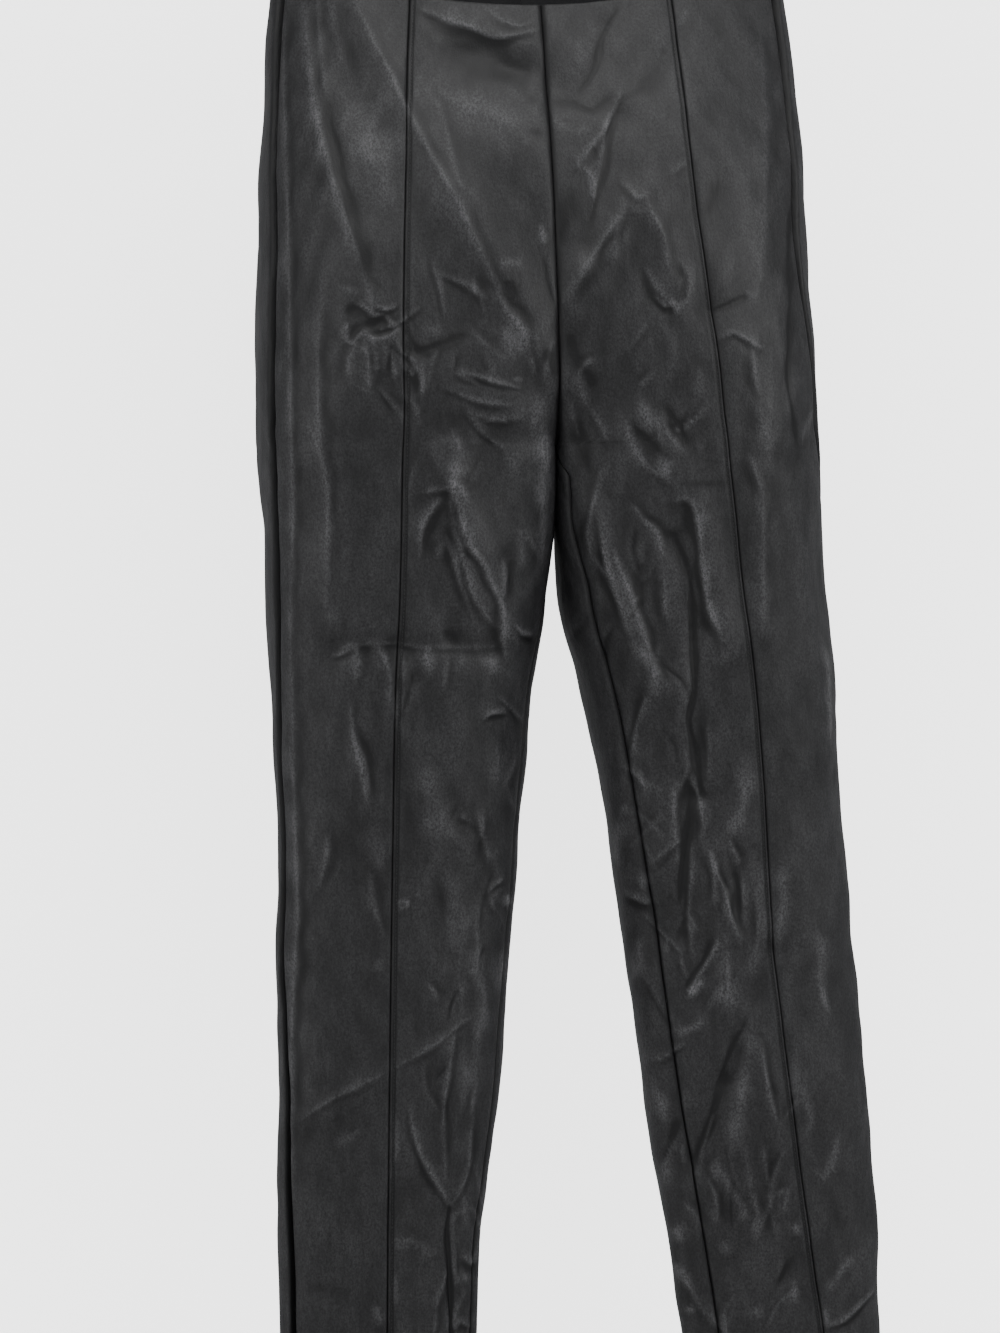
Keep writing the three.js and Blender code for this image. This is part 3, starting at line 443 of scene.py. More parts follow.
back_creases = [
    # seat
    (1.0, 0.20, 3.6, 1, [(-131, 4), (-116, 44), (-99, 86), (-71, 138), (-58, 152)]),
    (0.9, 0.18, 3.0, -1, [(119, 12), (104, 58), (93, 92), (72, 124)]),
    (0.6, 0.14, 2.8, 1, [(-152, 22), (-149, 92), (-143, 131)]),
    (0.7, 0.16, 3.2, -1, [(148, 6), (141, 74), (144, 150), (139, 188)]),
    (0.5, 0.12, 9.0, 0, [(-92, 40), (-84, 82), (-62, 108)]),
    (0.5, 0.12, 11.0, 0, [(66, 30), (74, 78), (58, 112)]),
    (-0.6, -0.08, 8.0, 0, [(-40, 120), (-56, 150), (-48, 178)]),
    (0.5, 0.16, 2.4, 1, [(-12, 34), (-27, 47), (-52, 52)]),
    (0.5, 0.14, 2.4, -1, [(8, 63), (27, 77), (59, 73)]),
    (0.7, 0.20, 2.6, -1, [(-8, 196), (-23, 226), (-49, 248)]),
    (0.5, 0.14, 2.2, -1, [(-13, 236), (-32, 254), (-47, 262)]),
    (0.8, 0.22, 2.8, 1, [(9, 182), (28, 216), (60, 241), (71, 243)]),
    (-0.7, -0.10, 4.0, 0, [(14, 212), (35, 240), (58, 256)]),
    (1.0, 0.24, 3.2, 1, [(-156, 284), (-131, 289), (-108, 302), (-86, 312)]),
    (0.7, 0.18, 2.8, 1, [(-96, 322), (-72, 330), (-44, 331)]),
    (0.8, 0.20, 3.0, -1, [(-148, 314), (-122, 321), (-99, 337)]),
    (-0.7, -0.09, 7.0, 0, [(-140, 301), (-110, 315)]),
    (0.9, 0.22, 3.2, -1, [(31, 332), (62, 329), (97, 311), (121, 301)]),
    (0.6, 0.17, 2.6, -1, [(112, 290), (136, 283), (157, 285)]),
    (0.8, 0.20, 2.8, 1, [(57, 351), (84, 342), (108, 323)]),
    (-0.6, -0.09, 7.0, 0, [(84, 326), (118, 310)]),
    (0.6, 0.16, 2.6, 1, [(-83, 264), (-61, 276), (-36, 281)]),
    (0.5, 0.15, 2.4, -1, [(33, 284), (52, 278), (78, 262), (88, 252)]),
    # thighs
    (0.8, 0.18, 3.4, 1, [(-151, 348), (-144, 397), (-129, 441), (-121, 486)]),
    (0.6, 0.15, 2.6, 1, [(-118, 420), (-109, 468), (-104, 521)]),
    (0.8, 0.18, 3.2, -1, [(143, 362), (135, 402), (124, 429)]),
    (0.7, 0.16, 2.8, -1, [(118, 446), (107, 499), (99, 538)]),
    (-0.7, -0.10, 3.2, 0, [(-71, 381), (-66, 421), (-73, 462)]),
    (0.5, 0.13, 7.0, 0, [(-80, 392), (-79, 446), (-86, 484)]),
    (-0.7, -0.10, 3.0, 0, [(69, 394), (75, 429), (71, 487)]),
    (0.5, 0.13, 8.0, 0, [(81, 372), (84, 431), (80, 470)]),
    (0.5, 0.16, 2.2, 1, [(-112, 362), (-103, 381), (-94, 404)]),
    (0.5, 0.16, 2.2, 1, [(98, 369), (105, 396), (98, 417)]),
    # behind the knees
    (0.9, 0.22, 2.6, 1, [(-166, 583), (-147, 596), (-119, 601), (-101, 611)]),
    (0.8, 0.20, 2.4, 1, [(-104, 604), (-81, 619), (-58, 621)]),
    (1.0, 0.24, 2.6, 1, [(-154, 618), (-131, 629), (-98, 632), (-79, 645), (-64, 646)]),
    (-0.8, -0.14, 2.6, 0, [(-143, 608), (-121, 616), (-97, 619)]),
    (0.7, 0.18, 2.4, -1, [(-168, 634), (-149, 649), (-124, 651)]),
    (0.6, 0.18, 2.2, 1, [(-112, 659), (-90, 671), (-77, 669)]),
    (0.6, 0.16, 2.2, 1, [(-133, 566), (-114, 571), (-102, 583), (-96, 597)]),
    (0.5, 0.15, 2.0, -1, [(-141, 681), (-119, 692), (-103, 691)]),
    (0.5, 0.13, 6.0, 0, [(-136, 640), (-108, 646)]),
    (1.0, 0.24, 2.6, 1, [(54, 613), (83, 616), (101, 607), (118, 609)]),
    (0.8, 0.20, 2.4, 1, [(112, 603), (138, 601), (167, 587)]),
    (0.9, 0.22, 2.6, 1, [(63, 644), (84, 636), (121, 634), (139, 622)]),
    (-0.8, -0.14, 2.6, 0, [(78, 626), (103, 623), (127, 613)]),
    (0.6, 0.18, 2.2, -1, [(143, 640), (158, 631), (171, 632)]),
    (0.7, 0.18, 2.4, 1, [(79, 671), (97, 659), (122, 661)]),
    (0.5, 0.16, 2.0, 1, [(81, 589), (101, 577), (128, 574)]),
    (0.5, 0.14, 2.0, -1, [(91, 693), (109, 683), (134, 684)]),
    (0.5, 0.13, 6.0, 0, [(98, 646), (131, 641)]),
    # calves
    (0.7, 0.16, 3.0, 1, [(-161, 718), (-152, 764), (-154, 806)]),
    (0.6, 0.14, 2.6, 1, [(-139, 771), (-133, 823), (-137, 861)]),
    (-0.7, -0.09, 3.0, 0, [(-117, 727), (-124, 774), (-121, 812)]),
    (0.7, 0.16, 2.8, -1, [(156, 731), (151, 769), (153, 797)]),
    (0.5, 0.14, 2.4, -1, [(134, 792), (141, 838), (139, 872)]),
    (-0.7, -0.09, 3.0, 0, [(113, 734), (119, 781), (126, 833)]),
    (0.6, 0.14, 2.8, 1, [(-176, 903), (-151, 914), (-127, 911)]),
    (0.5, 0.13, 2.6, 1, [(-138, 941), (-117, 946), (-101, 940)]),
    (0.6, 0.14, 2.8, 1, [(108, 913), (129, 918), (158, 903)]),
    (0.5, 0.13, 2.6, 1, [(143, 951), (166, 955), (181, 946)]),
]

# how each kind of seam rolls in: depth and width of the valley, how sheer its lips are, and
# the share of its width that it loses by the hem
seam_rolls = {
    "centre": (2.2, 1.9, 1.0, 0.0),
    "inseam": (1.8, 1.5, 1.0, 0.4),
    "front": (1.3, 0.9, 1.0, 0.3),
    "side": (6.0, 2.6, 2.2, 0.5),
}
# painted highlight and shade: how much paler the colour is painted for each mm that the cloth stands out,
# and how much darker it is painted for each mm of a seam valley's depth
relief_painted_light = 0.3
valley_painted_shade = 0.11

# columns of the mesh beside each edge, and the stitched groove: its column, depth and half width, and how
# dark its painted shade is
edge_steps = np.array([0.0, 0.35, 0.8, 1.35, 2.0, 2.7, 3.4, 4.4, 5.7, 7.2])
stitch_column = 5
groove_depth, groove_width, groove_painted_shade = 0.5, 0.8, 0.4


def slopes_of(table):
    """Slopes of a smooth curve through each column that never swings past its points."""
    step = np.diff(table[:, 0])[:, None]
    chord = np.diff(table, axis=0) / step
    before, after = chord[:-1], chord[1:]
    same = before * after > 0
    middle = np.where(same, 2 * before * after / np.where(same, before + after, 1), 0)
    return np.concatenate([chord[:1], middle, chord[-1:]])


leg_slopes = {side: slopes_of(table) for side, table in leg_tables.items()}


def section(side, down):
    """The measures of a leg at any level, read smoothly off its table."""
    table, slope = leg_tables[side], leg_slopes[side]
    i = np.clip(np.searchsorted(table[:, 0], down, side="right") - 1, 0, len(table) - 2)
    step = table[i + 1, 0] - table[i, 0]
    t = (down - table[i, 0]) / step
    found = {}
    for column, name in enumerate(LEG_COLUMNS):
        start, end = table[i, column], table[i + 1, column]
        leave, arrive = slope[i, column] * step, slope[i + 1, column] * step
        found[name] = ((2 * t**3 - 3 * t**2 + 1) * start + (t**3 - 2 * t**2 + t) * leave
                       + (3 * t**2 - 2 * t**3) * end + (t**3 - t**2) * arrive)
    return found


def ease(value):
    """0 below 0 and 1 above 1, with a soft start and end between."""
    t = np.clip(value, 0, 1)
    return t * t * (3 - 2 * t)


def cloth_xy(side, down, angle):
    """Where the cloth is at an angle round the leg: 0 at the inner edge, a quarter turn in front."""
    s = section(side, down)
    cos, sin = np.cos(angle), np.sin(angle)
    n = s["corner"]
    grow = (np.abs(cos) ** n + np.abs(sin) ** n) ** (-1 / n)
    reach = np.where(cos > 0, s["inner"] - s["centre"], s["centre"] - s["outer"])
    x = s["centre"] + reach * grow * cos
    begin = np.maximum(s["inner"], 0)
    middle = s["fork"] + (s["side"] - s["fork"]) * ease((x - begin) / (s["outer"] - begin))
    depth = np.where(sin > 0, s["front"] - middle, middle - s["back"])
    return x, middle + depth * grow * sin


def angle_at_width(s, width):
    """The angle round the front at which the cloth is so far from the centre line."""
    across = width - s["centre"]
    reach = np.where(across < 0, s["centre"] - s["inner"], s["outer"] - s["centre"])
    part = np.clip(np.abs(across) / reach, 0, 1)
    rise = (1 - part ** s["corner"]) ** (1 / s["corner"])
    angle = np.arctan2(rise, part)
    return np.where(across < 0, angle, np.pi - angle)


def panel_edges(side, down, panel):
    """The angles at which a panel starts and ends."""
    s = section(side, down)
    joined = down < FORK_LEVEL
    centre = np.where(joined, angle_at_width(s, HALF_GAP), np.radians(s["turn_in"]))
    seam = angle_at_width(s, s["seam"])
    side_seam = np.pi - np.radians(s["turn_side"])
    last = np.where(joined, 2 * np.pi - centre, 2 * np.pi + centre)
    start, end = {"centre": (centre, seam), "side": (seam, side_seam), "back": (side_seam, last)}[panel]
    trims = []
    for place in (start, end):
        ahead, behind = cloth_xy(side, down, place + NEARBY), cloth_xy(side, down, place - NEARBY)
        trims.append(HALF_GAP / (np.hypot(ahead[0] - behind[0], ahead[1] - behind[1]) / (2 * NEARBY)))
    at_centre = np.where(joined, 0.0, 1.0)
    start = start + trims[0] * (at_centre if panel == "centre" else 1.0)
    end = end - trims[1] * (at_centre if panel == "back" else 1.0)
    return start, end


def row_levels(spacing):
    """Levels of the rows: fine at waist and hem, and closing up towards the fork."""
    near_edge = np.array([0.0, 0.3, 0.8, 1.6])
    near_fork = FORK_LEVEL - np.array([10, 8.6, 7.2, 5.9, 4.7, 3.6, 2.6, 1.8, 1.1, 0.6, 0.25, 0.08, 0.0])

    def between(upper, lower):
        return np.linspace(upper, lower, int((lower - upper) / spacing) + 1)[1:-1]

    hips = between(near_edge[-1], near_fork[0])
    legs = between(FORK_LEVEL, HEM_LEVEL - near_edge[-1])
    return np.concatenate([near_edge, hips, near_fork, legs, HEM_LEVEL - near_edge[::-1]])


def true_level(side, down, angle):
    """Adds the waist's dip, the hem's tilt and the fan of the rows round the fork."""
    waist_dip, dip_end = 25, 130
    hem_slope, tilt_start = 0.06, 880
    fan_above, fan_below, fan_reach, fan_start, fan_width = 14, 4, 12, 2, 32
    s = section(side, down)
    x, _ = cloth_xy(side, down, angle)
    open_part = np.maximum(0, 1 - (x / s["outer"]) ** 2)
    facing = np.maximum(0, np.sin(angle))
    fade = np.maximum(0, 1 - down / dip_end) ** 2
    dip = waist_dip * open_part**1.5 * ease(facing * 2) * fade
    tilt = (x - s["centre"]) * hem_slope * ease((down - tilt_start) / (HEM_LEVEL - tilt_start))
    above = np.maximum(0, FORK_LEVEL - down) / fan_reach
    below = np.maximum(0, down - FORK_LEVEL) / fan_reach
    fan = fan_below * below * np.exp(1 - below) - fan_above * above * np.exp(1 - above)
    return down + dip - tilt + fan * ease((x - fan_start) / fan_width)


def fold_height(folds, x, down):
    """Broad soft folds, each a bell across its straight line and beyond its ends."""
    height = np.zeros_like(x)
    for x1, down1, x2, down2, width, top in folds:
        length = math.hypot(x2 - x1, down2 - down1)
        along = ((x - x1) * (x2 - x1) + (down - down1) * (down2 - down1)) / length
        across = ((x - x1) * (down2 - down1) - (down - down1) * (x2 - x1)) / length
        past = np.maximum(0, np.maximum(-along, along - length)) / width
        height += top * np.exp(-((across / width) ** 2 + past**2))
    return height


def smooth_path(points, spacing=5.0):
    """A smooth path through given points, with how far along it each place is."""
    p = np.array(points, float)
    p = np.concatenate([2 * p[:1] - p[1:2], p, 2 * p[-1:] - p[-2:-1]])
    made = []
    for i in range(1, len(p) - 2):
        steps = max(2, int(np.hypot(*(p[i + 1] - p[i])) / spacing))
        for t in np.arange(steps) / steps:
            made.append(0.5 * (2 * p[i] + (p[i + 1] - p[i - 1]) * t
                               + (2 * p[i - 1] - 5 * p[i] + 4 * p[i + 1] - p[i + 2]) * t**2
                               + (3 * p[i] - p[i - 1] - 3 * p[i + 1] + p[i + 2]) * t**3))
    made.append(p[-2])
    return np.array(made)


def crease_height(creases, x, down):
    """Soft ridges and hollows along their paths, each dying out at both ends, and the painted highlight
    and painted shade on each: sharply up to the hollow's side, and fading away on the other."""
    # pale holds each crease's painted highlight (above 0) and painted shade (below 0)
    height, pale = np.zeros_like(x), np.zeros_like(x)
    for top, painted_light_amount, width, hollow_side, points in creases:
        path = smooth_path(points)
        reach = width * 4
        near = ((x > path[:, 0].min() - reach) & (x < path[:, 0].max() + reach)
                & (down > path[:, 1].min() - reach) & (down < path[:, 1].max() + reach))
        if not near.any():
            continue
        px, pd = x[near], down[near]
        best = np.full(px.shape, 1e9)
        signed = np.zeros_like(px)
        place = np.zeros_like(px)
        lengths = np.hypot(*np.diff(path, axis=0).T)
        total = lengths.sum()
        gone = 0.0
        for (ax, ad), (bx, bd), length in zip(path[:-1], path[1:], lengths):
            ux, ud = (bx - ax) / length, (bd - ad) / length
            along = np.clip((px - ax) * ux + (pd - ad) * ud, 0, length)
            dx, dd = px - ax - ux * along, pd - ad - ud * along
            distance = np.hypot(dx, dd)
            closer = distance < best
            best = np.where(closer, distance, best)
            signed = np.where(closer, distance * np.sign(dx * ud - dd * ux + 1e-9), signed)
            place = np.where(closer, (gone + along) / total, place)
            gone += length
        fade = np.sin(np.pi * np.clip(place * 0.98 + 0.01, 0, 1)) ** 0.5
        # no crease keeps its width or its painted highlight along its whole length
        wander = np.sin(place * total / 7 + path[0, 0]) * np.sin(place * total / 17 + path[0, 1])
        width = width * (1 + 0.4 * wander)
        # its height: a rounded crest, with a shallow hollow beside it
        crest = 0.3 * width
        shape = np.exp(-(np.hypot(signed, crest) - crest) / (0.62 * width))
        # its painted light: a painted highlight up to the crest, fading away behind it, and painted shade in
        # the hollow
        spread = np.exp(-((signed / width) ** 2))
        if hollow_side:
            ahead = signed * hollow_side
            shape = shape - 0.5 * np.exp(-(((ahead - 1.7 * width) / (1.1 * width)) ** 2))
            sheer = np.exp(-((signed / (0.4 * width)) ** 2))
            gentle = np.exp(-np.abs(signed) / width)
            spread = np.where(ahead > 0, sheer, gentle)
            spread = spread - 0.34 * np.exp(-(((ahead - 1.25 * width) / (0.85 * width)) ** 2))
        height[near] += top * fade * shape
        pale[near] += painted_light_amount * fade * (1 + 0.35 * wander) * spread
    return height, pale


# slack of the cloth: length across, length along, two phases, height
slack_rng = np.random.default_rng(20)
slow_waves = [(slack_rng.uniform(26, 80), slack_rng.uniform(60, 220), slack_rng.uniform(0, 2 * np.pi),
               slack_rng.uniform(0, 2 * np.pi), 0.11) for _ in range(22)]
slow_waves += [(slack_rng.uniform(12, 30), slack_rng.uniform(24, 90), slack_rng.uniform(0, 2 * np.pi),
                slack_rng.uniform(0, 2 * np.pi), 0.035) for _ in range(26)]


def unevenness(x, y, down):
    """The slack of the cloth: shallow waves of many sizes, no two alike."""
    total = np.zeros_like(x)
    for across, along, phase, heading, top in slow_waves:
        flat = x * math.cos(heading) + y * math.sin(heading)
        total += top * np.sin(2 * np.pi * (flat / across + down / along) + phase)
    return total


def small_creases(seed, number, zones):
    """Short faint creases, thick about the crotch and knees, mostly running down the leg."""
    rng = np.random.default_rng(seed)
    made = []
    for _ in range(number):
        x_middle, down_middle, x_spread, down_spread, lean = zones[rng.integers(len(zones))]
        off = np.clip(rng.normal(size=2), -1.5, 1.5)
        x, down = x_middle + off[0] * x_spread, down_middle + off[1] * down_spread
        heading = math.radians(lean + rng.normal(0, 26))
        half = rng.uniform(5, 19)
        bow = rng.normal(0, 0.16) * half
        dx, dd = math.sin(heading), math.cos(heading)
        path = [(x - dx * half, down - dd * half), (x + dd * bow, down - dx * bow),
                (x + dx * half, down + dd * half)]
        top = rng.choice([-0.3, 0.3, 0.45]) * rng.uniform(0.6, 1.3)
        # each small crease gets a painted highlight or painted shade of 0.3 of its height
        made.append((top, 0.3 * top, rng.uniform(1.4, 3.0), int(rng.choice([-1, 1])), path))
    return made


# where the small creases gather: middle x, middle down, spread across, spread down, and how
# many degrees they lean
front_creases += small_creases(7, 170, [
    (-50, 250, 30, 30, 20), (40, 240, 26, 44, -24), (-70, 380, 34, 60, 14), (50, 400, 26, 70, 12),
    (60, 620, 24, 80, 8), (-60, 640, 26, 90, -6), (100, 720, 26, 70, -20), (-110, 240, 14, 24, 60),
    (90, 860, 26, 60, 6), (-70, 860, 24, 60, 4),
])
back_creases += small_creases(8, 150, [
    (-60, 270, 40, 40, 50), (60, 270, 40, 40, -50), (-100, 450, 30, 80, 10), (100, 450, 30, 80, -10),
    (-110, 640, 30, 40, 70), (110, 640, 30, 40, -70), (-120, 840, 30, 70, 8), (120, 840, 30, 70, -8),
])


def standing_out(height, spacing):
    """How far each place stands out from the cloth round it: crests above 0, hollows below."""
    crest_reach = 3.0
    level = height
    for axis in (0, 1):
        for _ in range(3):
            reach = max(1, round(crest_reach / spacing))
            padding = [(0, 0), (0, 0)]
            padding[axis] = (reach + 1, reach)
            total = np.cumsum(np.pad(level, padding, mode="edge"), axis=axis)
            size = level.shape[axis]
            upper = np.take(total, np.arange(size) + 2 * reach + 1, axis=axis)
            lower = np.take(total, np.arange(size), axis=axis)
            level = (upper - lower) / (2 * reach + 1)
    return height - level


def seam_kinds(panel, above_fork):
    """How a panel rolls in at its start and at its end."""
    rolls = {name: np.array(numbers)[:, None, None] for name, numbers in seam_rolls.items()}
    middle = np.where(above_fork, rolls["centre"], rolls["inseam"])
    return {"centre": (middle, rolls["front"]), "side": (rolls["front"], rolls["side"]),
            "back": (rolls["side"], middle)}[panel]


def column_angles(side, panel, rows, middle_columns):
    """Angles of a panel's columns at each row, set closer at its edges and round tight bends."""
    bend_weight = 5  # mm for each radian of bend
    share = np.linspace(0, 1, 281)
    start, end = panel_edges(side, rows, panel)
    angles = start[:, None] + (end - start)[:, None] * share
    x, y = cloth_xy(side, np.broadcast_to(rows[:, None], angles.shape), angles)
    step_x, step_y = np.diff(x, axis=1), np.diff(y, axis=1)
    heading = np.unwrap(np.arctan2(step_y, step_x), axis=1)
    zero = np.zeros((len(rows), 1))
    bend = np.concatenate([zero, np.abs(np.diff(heading, axis=1))], axis=1)
    measure = np.concatenate([zero, np.cumsum(np.hypot(step_x, step_y) + bend_weight * bend, axis=1)], axis=1)
    angle = np.empty((len(rows), 2 * len(edge_steps) + middle_columns))
    for i in range(len(rows)):
        total = measure[i, -1]
        middle = np.linspace(edge_steps[-1], total - edge_steps[-1], middle_columns + 2)[1:-1]
        wanted = np.concatenate([edge_steps, middle, total - edge_steps[::-1]])
        angle[i] = start[i] + (end[i] - start[i]) * np.interp(wanted, measure[i], share)
    return angle, (angle - start[:, None]) / (end - start)[:, None]


def panel_surface(side, panel, spacing, middle_columns):
    """Base points, outward direction, height and painted light and shade of a panel's face, row by row."""
    rows = row_levels(spacing)
    angle, part = column_angles(side, panel, rows, middle_columns)
    rows = np.broadcast_to(rows[:, None], angle.shape)
    down = true_level(side, rows, angle)
    start, end = panel_edges(side, down, panel)
    angle = start + (end - start) * part
    x, y = cloth_xy(side, down, angle)
    ahead = cloth_xy(side, down, angle + NEARBY)
    size = np.hypot(ahead[0] - x, ahead[1] - y)
    out_x, out_y = (ahead[1] - y) / size, -(ahead[0] - x) / size

    in_front = np.sin(angle) > 0
    from_side = np.abs(np.sin(angle))
    wide = side * x
    folded = np.where(in_front, fold_height(front_folds, wide, down), fold_height(back_folds, wide, down))
    creased = np.where(in_front, crease_height(front_creases, wide, down),
                       crease_height(back_creases, wide, down)) * ease(from_side * 4)
    height = folded * ease(from_side * 2.2) + creased[0] + unevenness(wide, y, down)
    # painted highlight where the cloth stands out from what is round it and painted shade where it sinks
    painted_light_and_shade = creased[1] + relief_painted_light * standing_out(height, spacing)

    along = np.hypot(np.diff(x, axis=1), np.diff(y, axis=1))
    from_start = np.concatenate([np.zeros((len(x), 1)), np.cumsum(along, axis=1)], axis=1)
    to_end = from_start[:, -1:] - from_start
    above_fork = rows < FORK_LEVEL
    for roll, distance in zip(seam_kinds(panel, above_fork), (from_start, to_end)):
        depth, width, sheerness, narrowing = roll
        valley = width * (1 - narrowing * down / HEM_LEVEL)
        height = height - depth * np.exp(-((distance / valley) ** sheerness))
        # painted shade along each seam valley, darker the deeper it is
        painted_light_and_shade = painted_light_and_shade - valley_painted_shade * depth * np.exp(-((distance / (1.2 * valley)) ** 2))
    if panel == "centre":
        groove = np.exp(-(((to_end - edge_steps[stitch_column]) / groove_width) ** 2))
        height = height - groove_depth * groove
        # painted shade along the stitched groove
        painted_light_and_shade = painted_light_and_shade - groove_painted_shade * groove
    # above the fork the edges are drawn in until they meet at the centre seams
    reach = 1.2
    drawn_in = {"centre": np.exp(-from_start / reach), "side": 0 * x, "back": np.exp(-to_end / reach)}[panel]
    return {"x": x, "y": y, "down": down, "rows": rows, "out_x": out_x, "out_y": out_y, "height": height,
            "painted_light_and_shade": painted_light_and_shade, "drawn_in": np.where(above_fork, drawn_in, 0)}


def panel_object(name, side, panel, spacing, middle_columns):
    """A closed thin shell: coated face outside, coarser knitted backing inside, turned edges."""
    edge_rounding = 0.5
    coarseness = 3
    s = panel_surface(side, panel, spacing, middle_columns)
    to_edge = np.minimum(s["rows"], HEM_LEVEL - s["rows"])
    rounding = edge_rounding * np.exp(-to_edge / edge_rounding)
    rows, columns = s["x"].shape
    kept_rows = np.unique(np.append(np.arange(0, rows, coarseness), rows - 1))
    kept_columns = np.unique(np.append(np.arange(0, columns, coarseness), columns - 1))

    # the inside keeps clear of the deepest hollow that its coarser mesh spans
    deepest = s["height"].copy()
    for _ in range(coarseness):
        padded = np.pad(deepest, 1, mode="edge")
        deepest = np.minimum.reduce([padded[1:-1, 1:-1], padded[:-2, 1:-1], padded[2:, 1:-1],
                                     padded[1:-1, :-2], padded[1:-1, 2:]])

    def layer(lift):
        x = np.maximum(s["x"] + s["out_x"] * lift, HALF_GAP)
        edge = x[:, -1:] if panel == "back" else x[:, :1]
        x = x - s["drawn_in"] * (edge - HALF_GAP)
        return np.stack([side * x, s["y"] + s["out_y"] * lift, -s["down"]], axis=-1)

    face = layer(s["height"] - rounding)
    back = layer(deepest + rounding - WALL)[kept_rows][:, kept_columns]
    points = np.concatenate([face.reshape(-1, 3), back.reshape(-1, 3)]) * MM
    front_index = np.arange(rows * columns).reshape(rows, columns)
    back_index = rows * columns + np.arange(back.shape[0] * back.shape[1]).reshape(back.shape[:2])

    def quads_of(index):
        corners = [index[:-1, :-1], index[1:, :-1], index[1:, 1:], index[:-1, 1:]]
        return np.stack(corners, axis=-1).reshape(-1, 4)

    face_quads, back_quads = quads_of(front_index), quads_of(back_index)[:, ::-1]
    rims = []
    for fine, coarse, kept, flip in (
        (front_index[:, 0], back_index[:, 0], kept_rows, True),
        (front_index[:, -1], back_index[:, -1], kept_rows, False),
        (front_index[0], back_index[0], kept_columns, False),
        (front_index[-1], back_index[-1], kept_columns, True),
    ):
        for k in range(len(kept) - 1):
            loop = list(fine[kept[k]:kept[k + 1] + 1]) + [coarse[k + 1], coarse[k]]
            rims.append(loop[::-1] if flip else loop)
    corners = np.concatenate([face_quads.ravel(), back_quads.ravel(), np.concatenate(rims)])
    sizes = np.concatenate([np.full(len(face_quads) + len(back_quads), 4), [len(loop) for loop in rims]])
    starts = np.concatenate([[0], np.cumsum(sizes)[:-1]])
    counts = [len(face_quads), len(back_quads), len(rims)]
    mesh = bpy.data.meshes.new(name)
    mesh.vertices.add(len(points))
    mesh.vertices.foreach_set("co", points.ravel())
    mesh.loops.add(len(corners))
    mesh.loops.foreach_set("vertex_index", corners.astype(np.int32))
    mesh.polygons.add(len(sizes))
    mesh.polygons.foreach_set("loop_start", starts.astype(np.int32))
    mesh.polygons.foreach_set("material_index", np.repeat([0, 1, 0], counts).astype(np.int32))
    mesh.polygons.foreach_set("use_smooth", np.repeat([True, True, False], counts))
    mesh.update(calc_edges=True)
    if side < 0:
        mesh.flip_normals()
    mesh.validate()
    # the painted highlights and painted shade go onto every point as an attribute for the leather's colour
    painted_light_and_shade = np.concatenate([s["painted_light_and_shade"].ravel(), s["painted_light_and_shade"][kept_rows][:, kept_columns].ravel()])
    mesh.attributes.new("painted_light_and_shade", "FLOAT", "POINT").data.foreach_set("value", painted_light_and_shade.astype(np.float32))
    mesh.materials.append(leather)
    mesh.materials.append(backing)
    made = bpy.data.objects.new(name, mesh)
    bpy.context.scene.collection.objects.link(made)
    return made, face * MM


def node(tree, kind, values=(), **settings):
    """A new node with its settings and the values of its unlinked sockets."""
    made = tree.nodes.new(kind)
    for key, value in settings.items():
        setattr(made, key, value)
    for key, value in dict(values).items():
        made.inputs[key].default_value = value
    return made


def wire(tree, *links):
    """Joins nodes: each link says from which node and output, to which node and input."""
    for source, output, target, socket in links:
        tree.links.new(source.outputs[output], target.inputs[socket])


def plain_material(name):
    """A new material, with its node tree and its shader."""
    material = bpy.data.materials.new(name)
    material.use_nodes = True
    return material, material.node_tree, material.node_tree.nodes["Principled BSDF"]


def grey(value, blue):
    return value, value, blue, 1.0


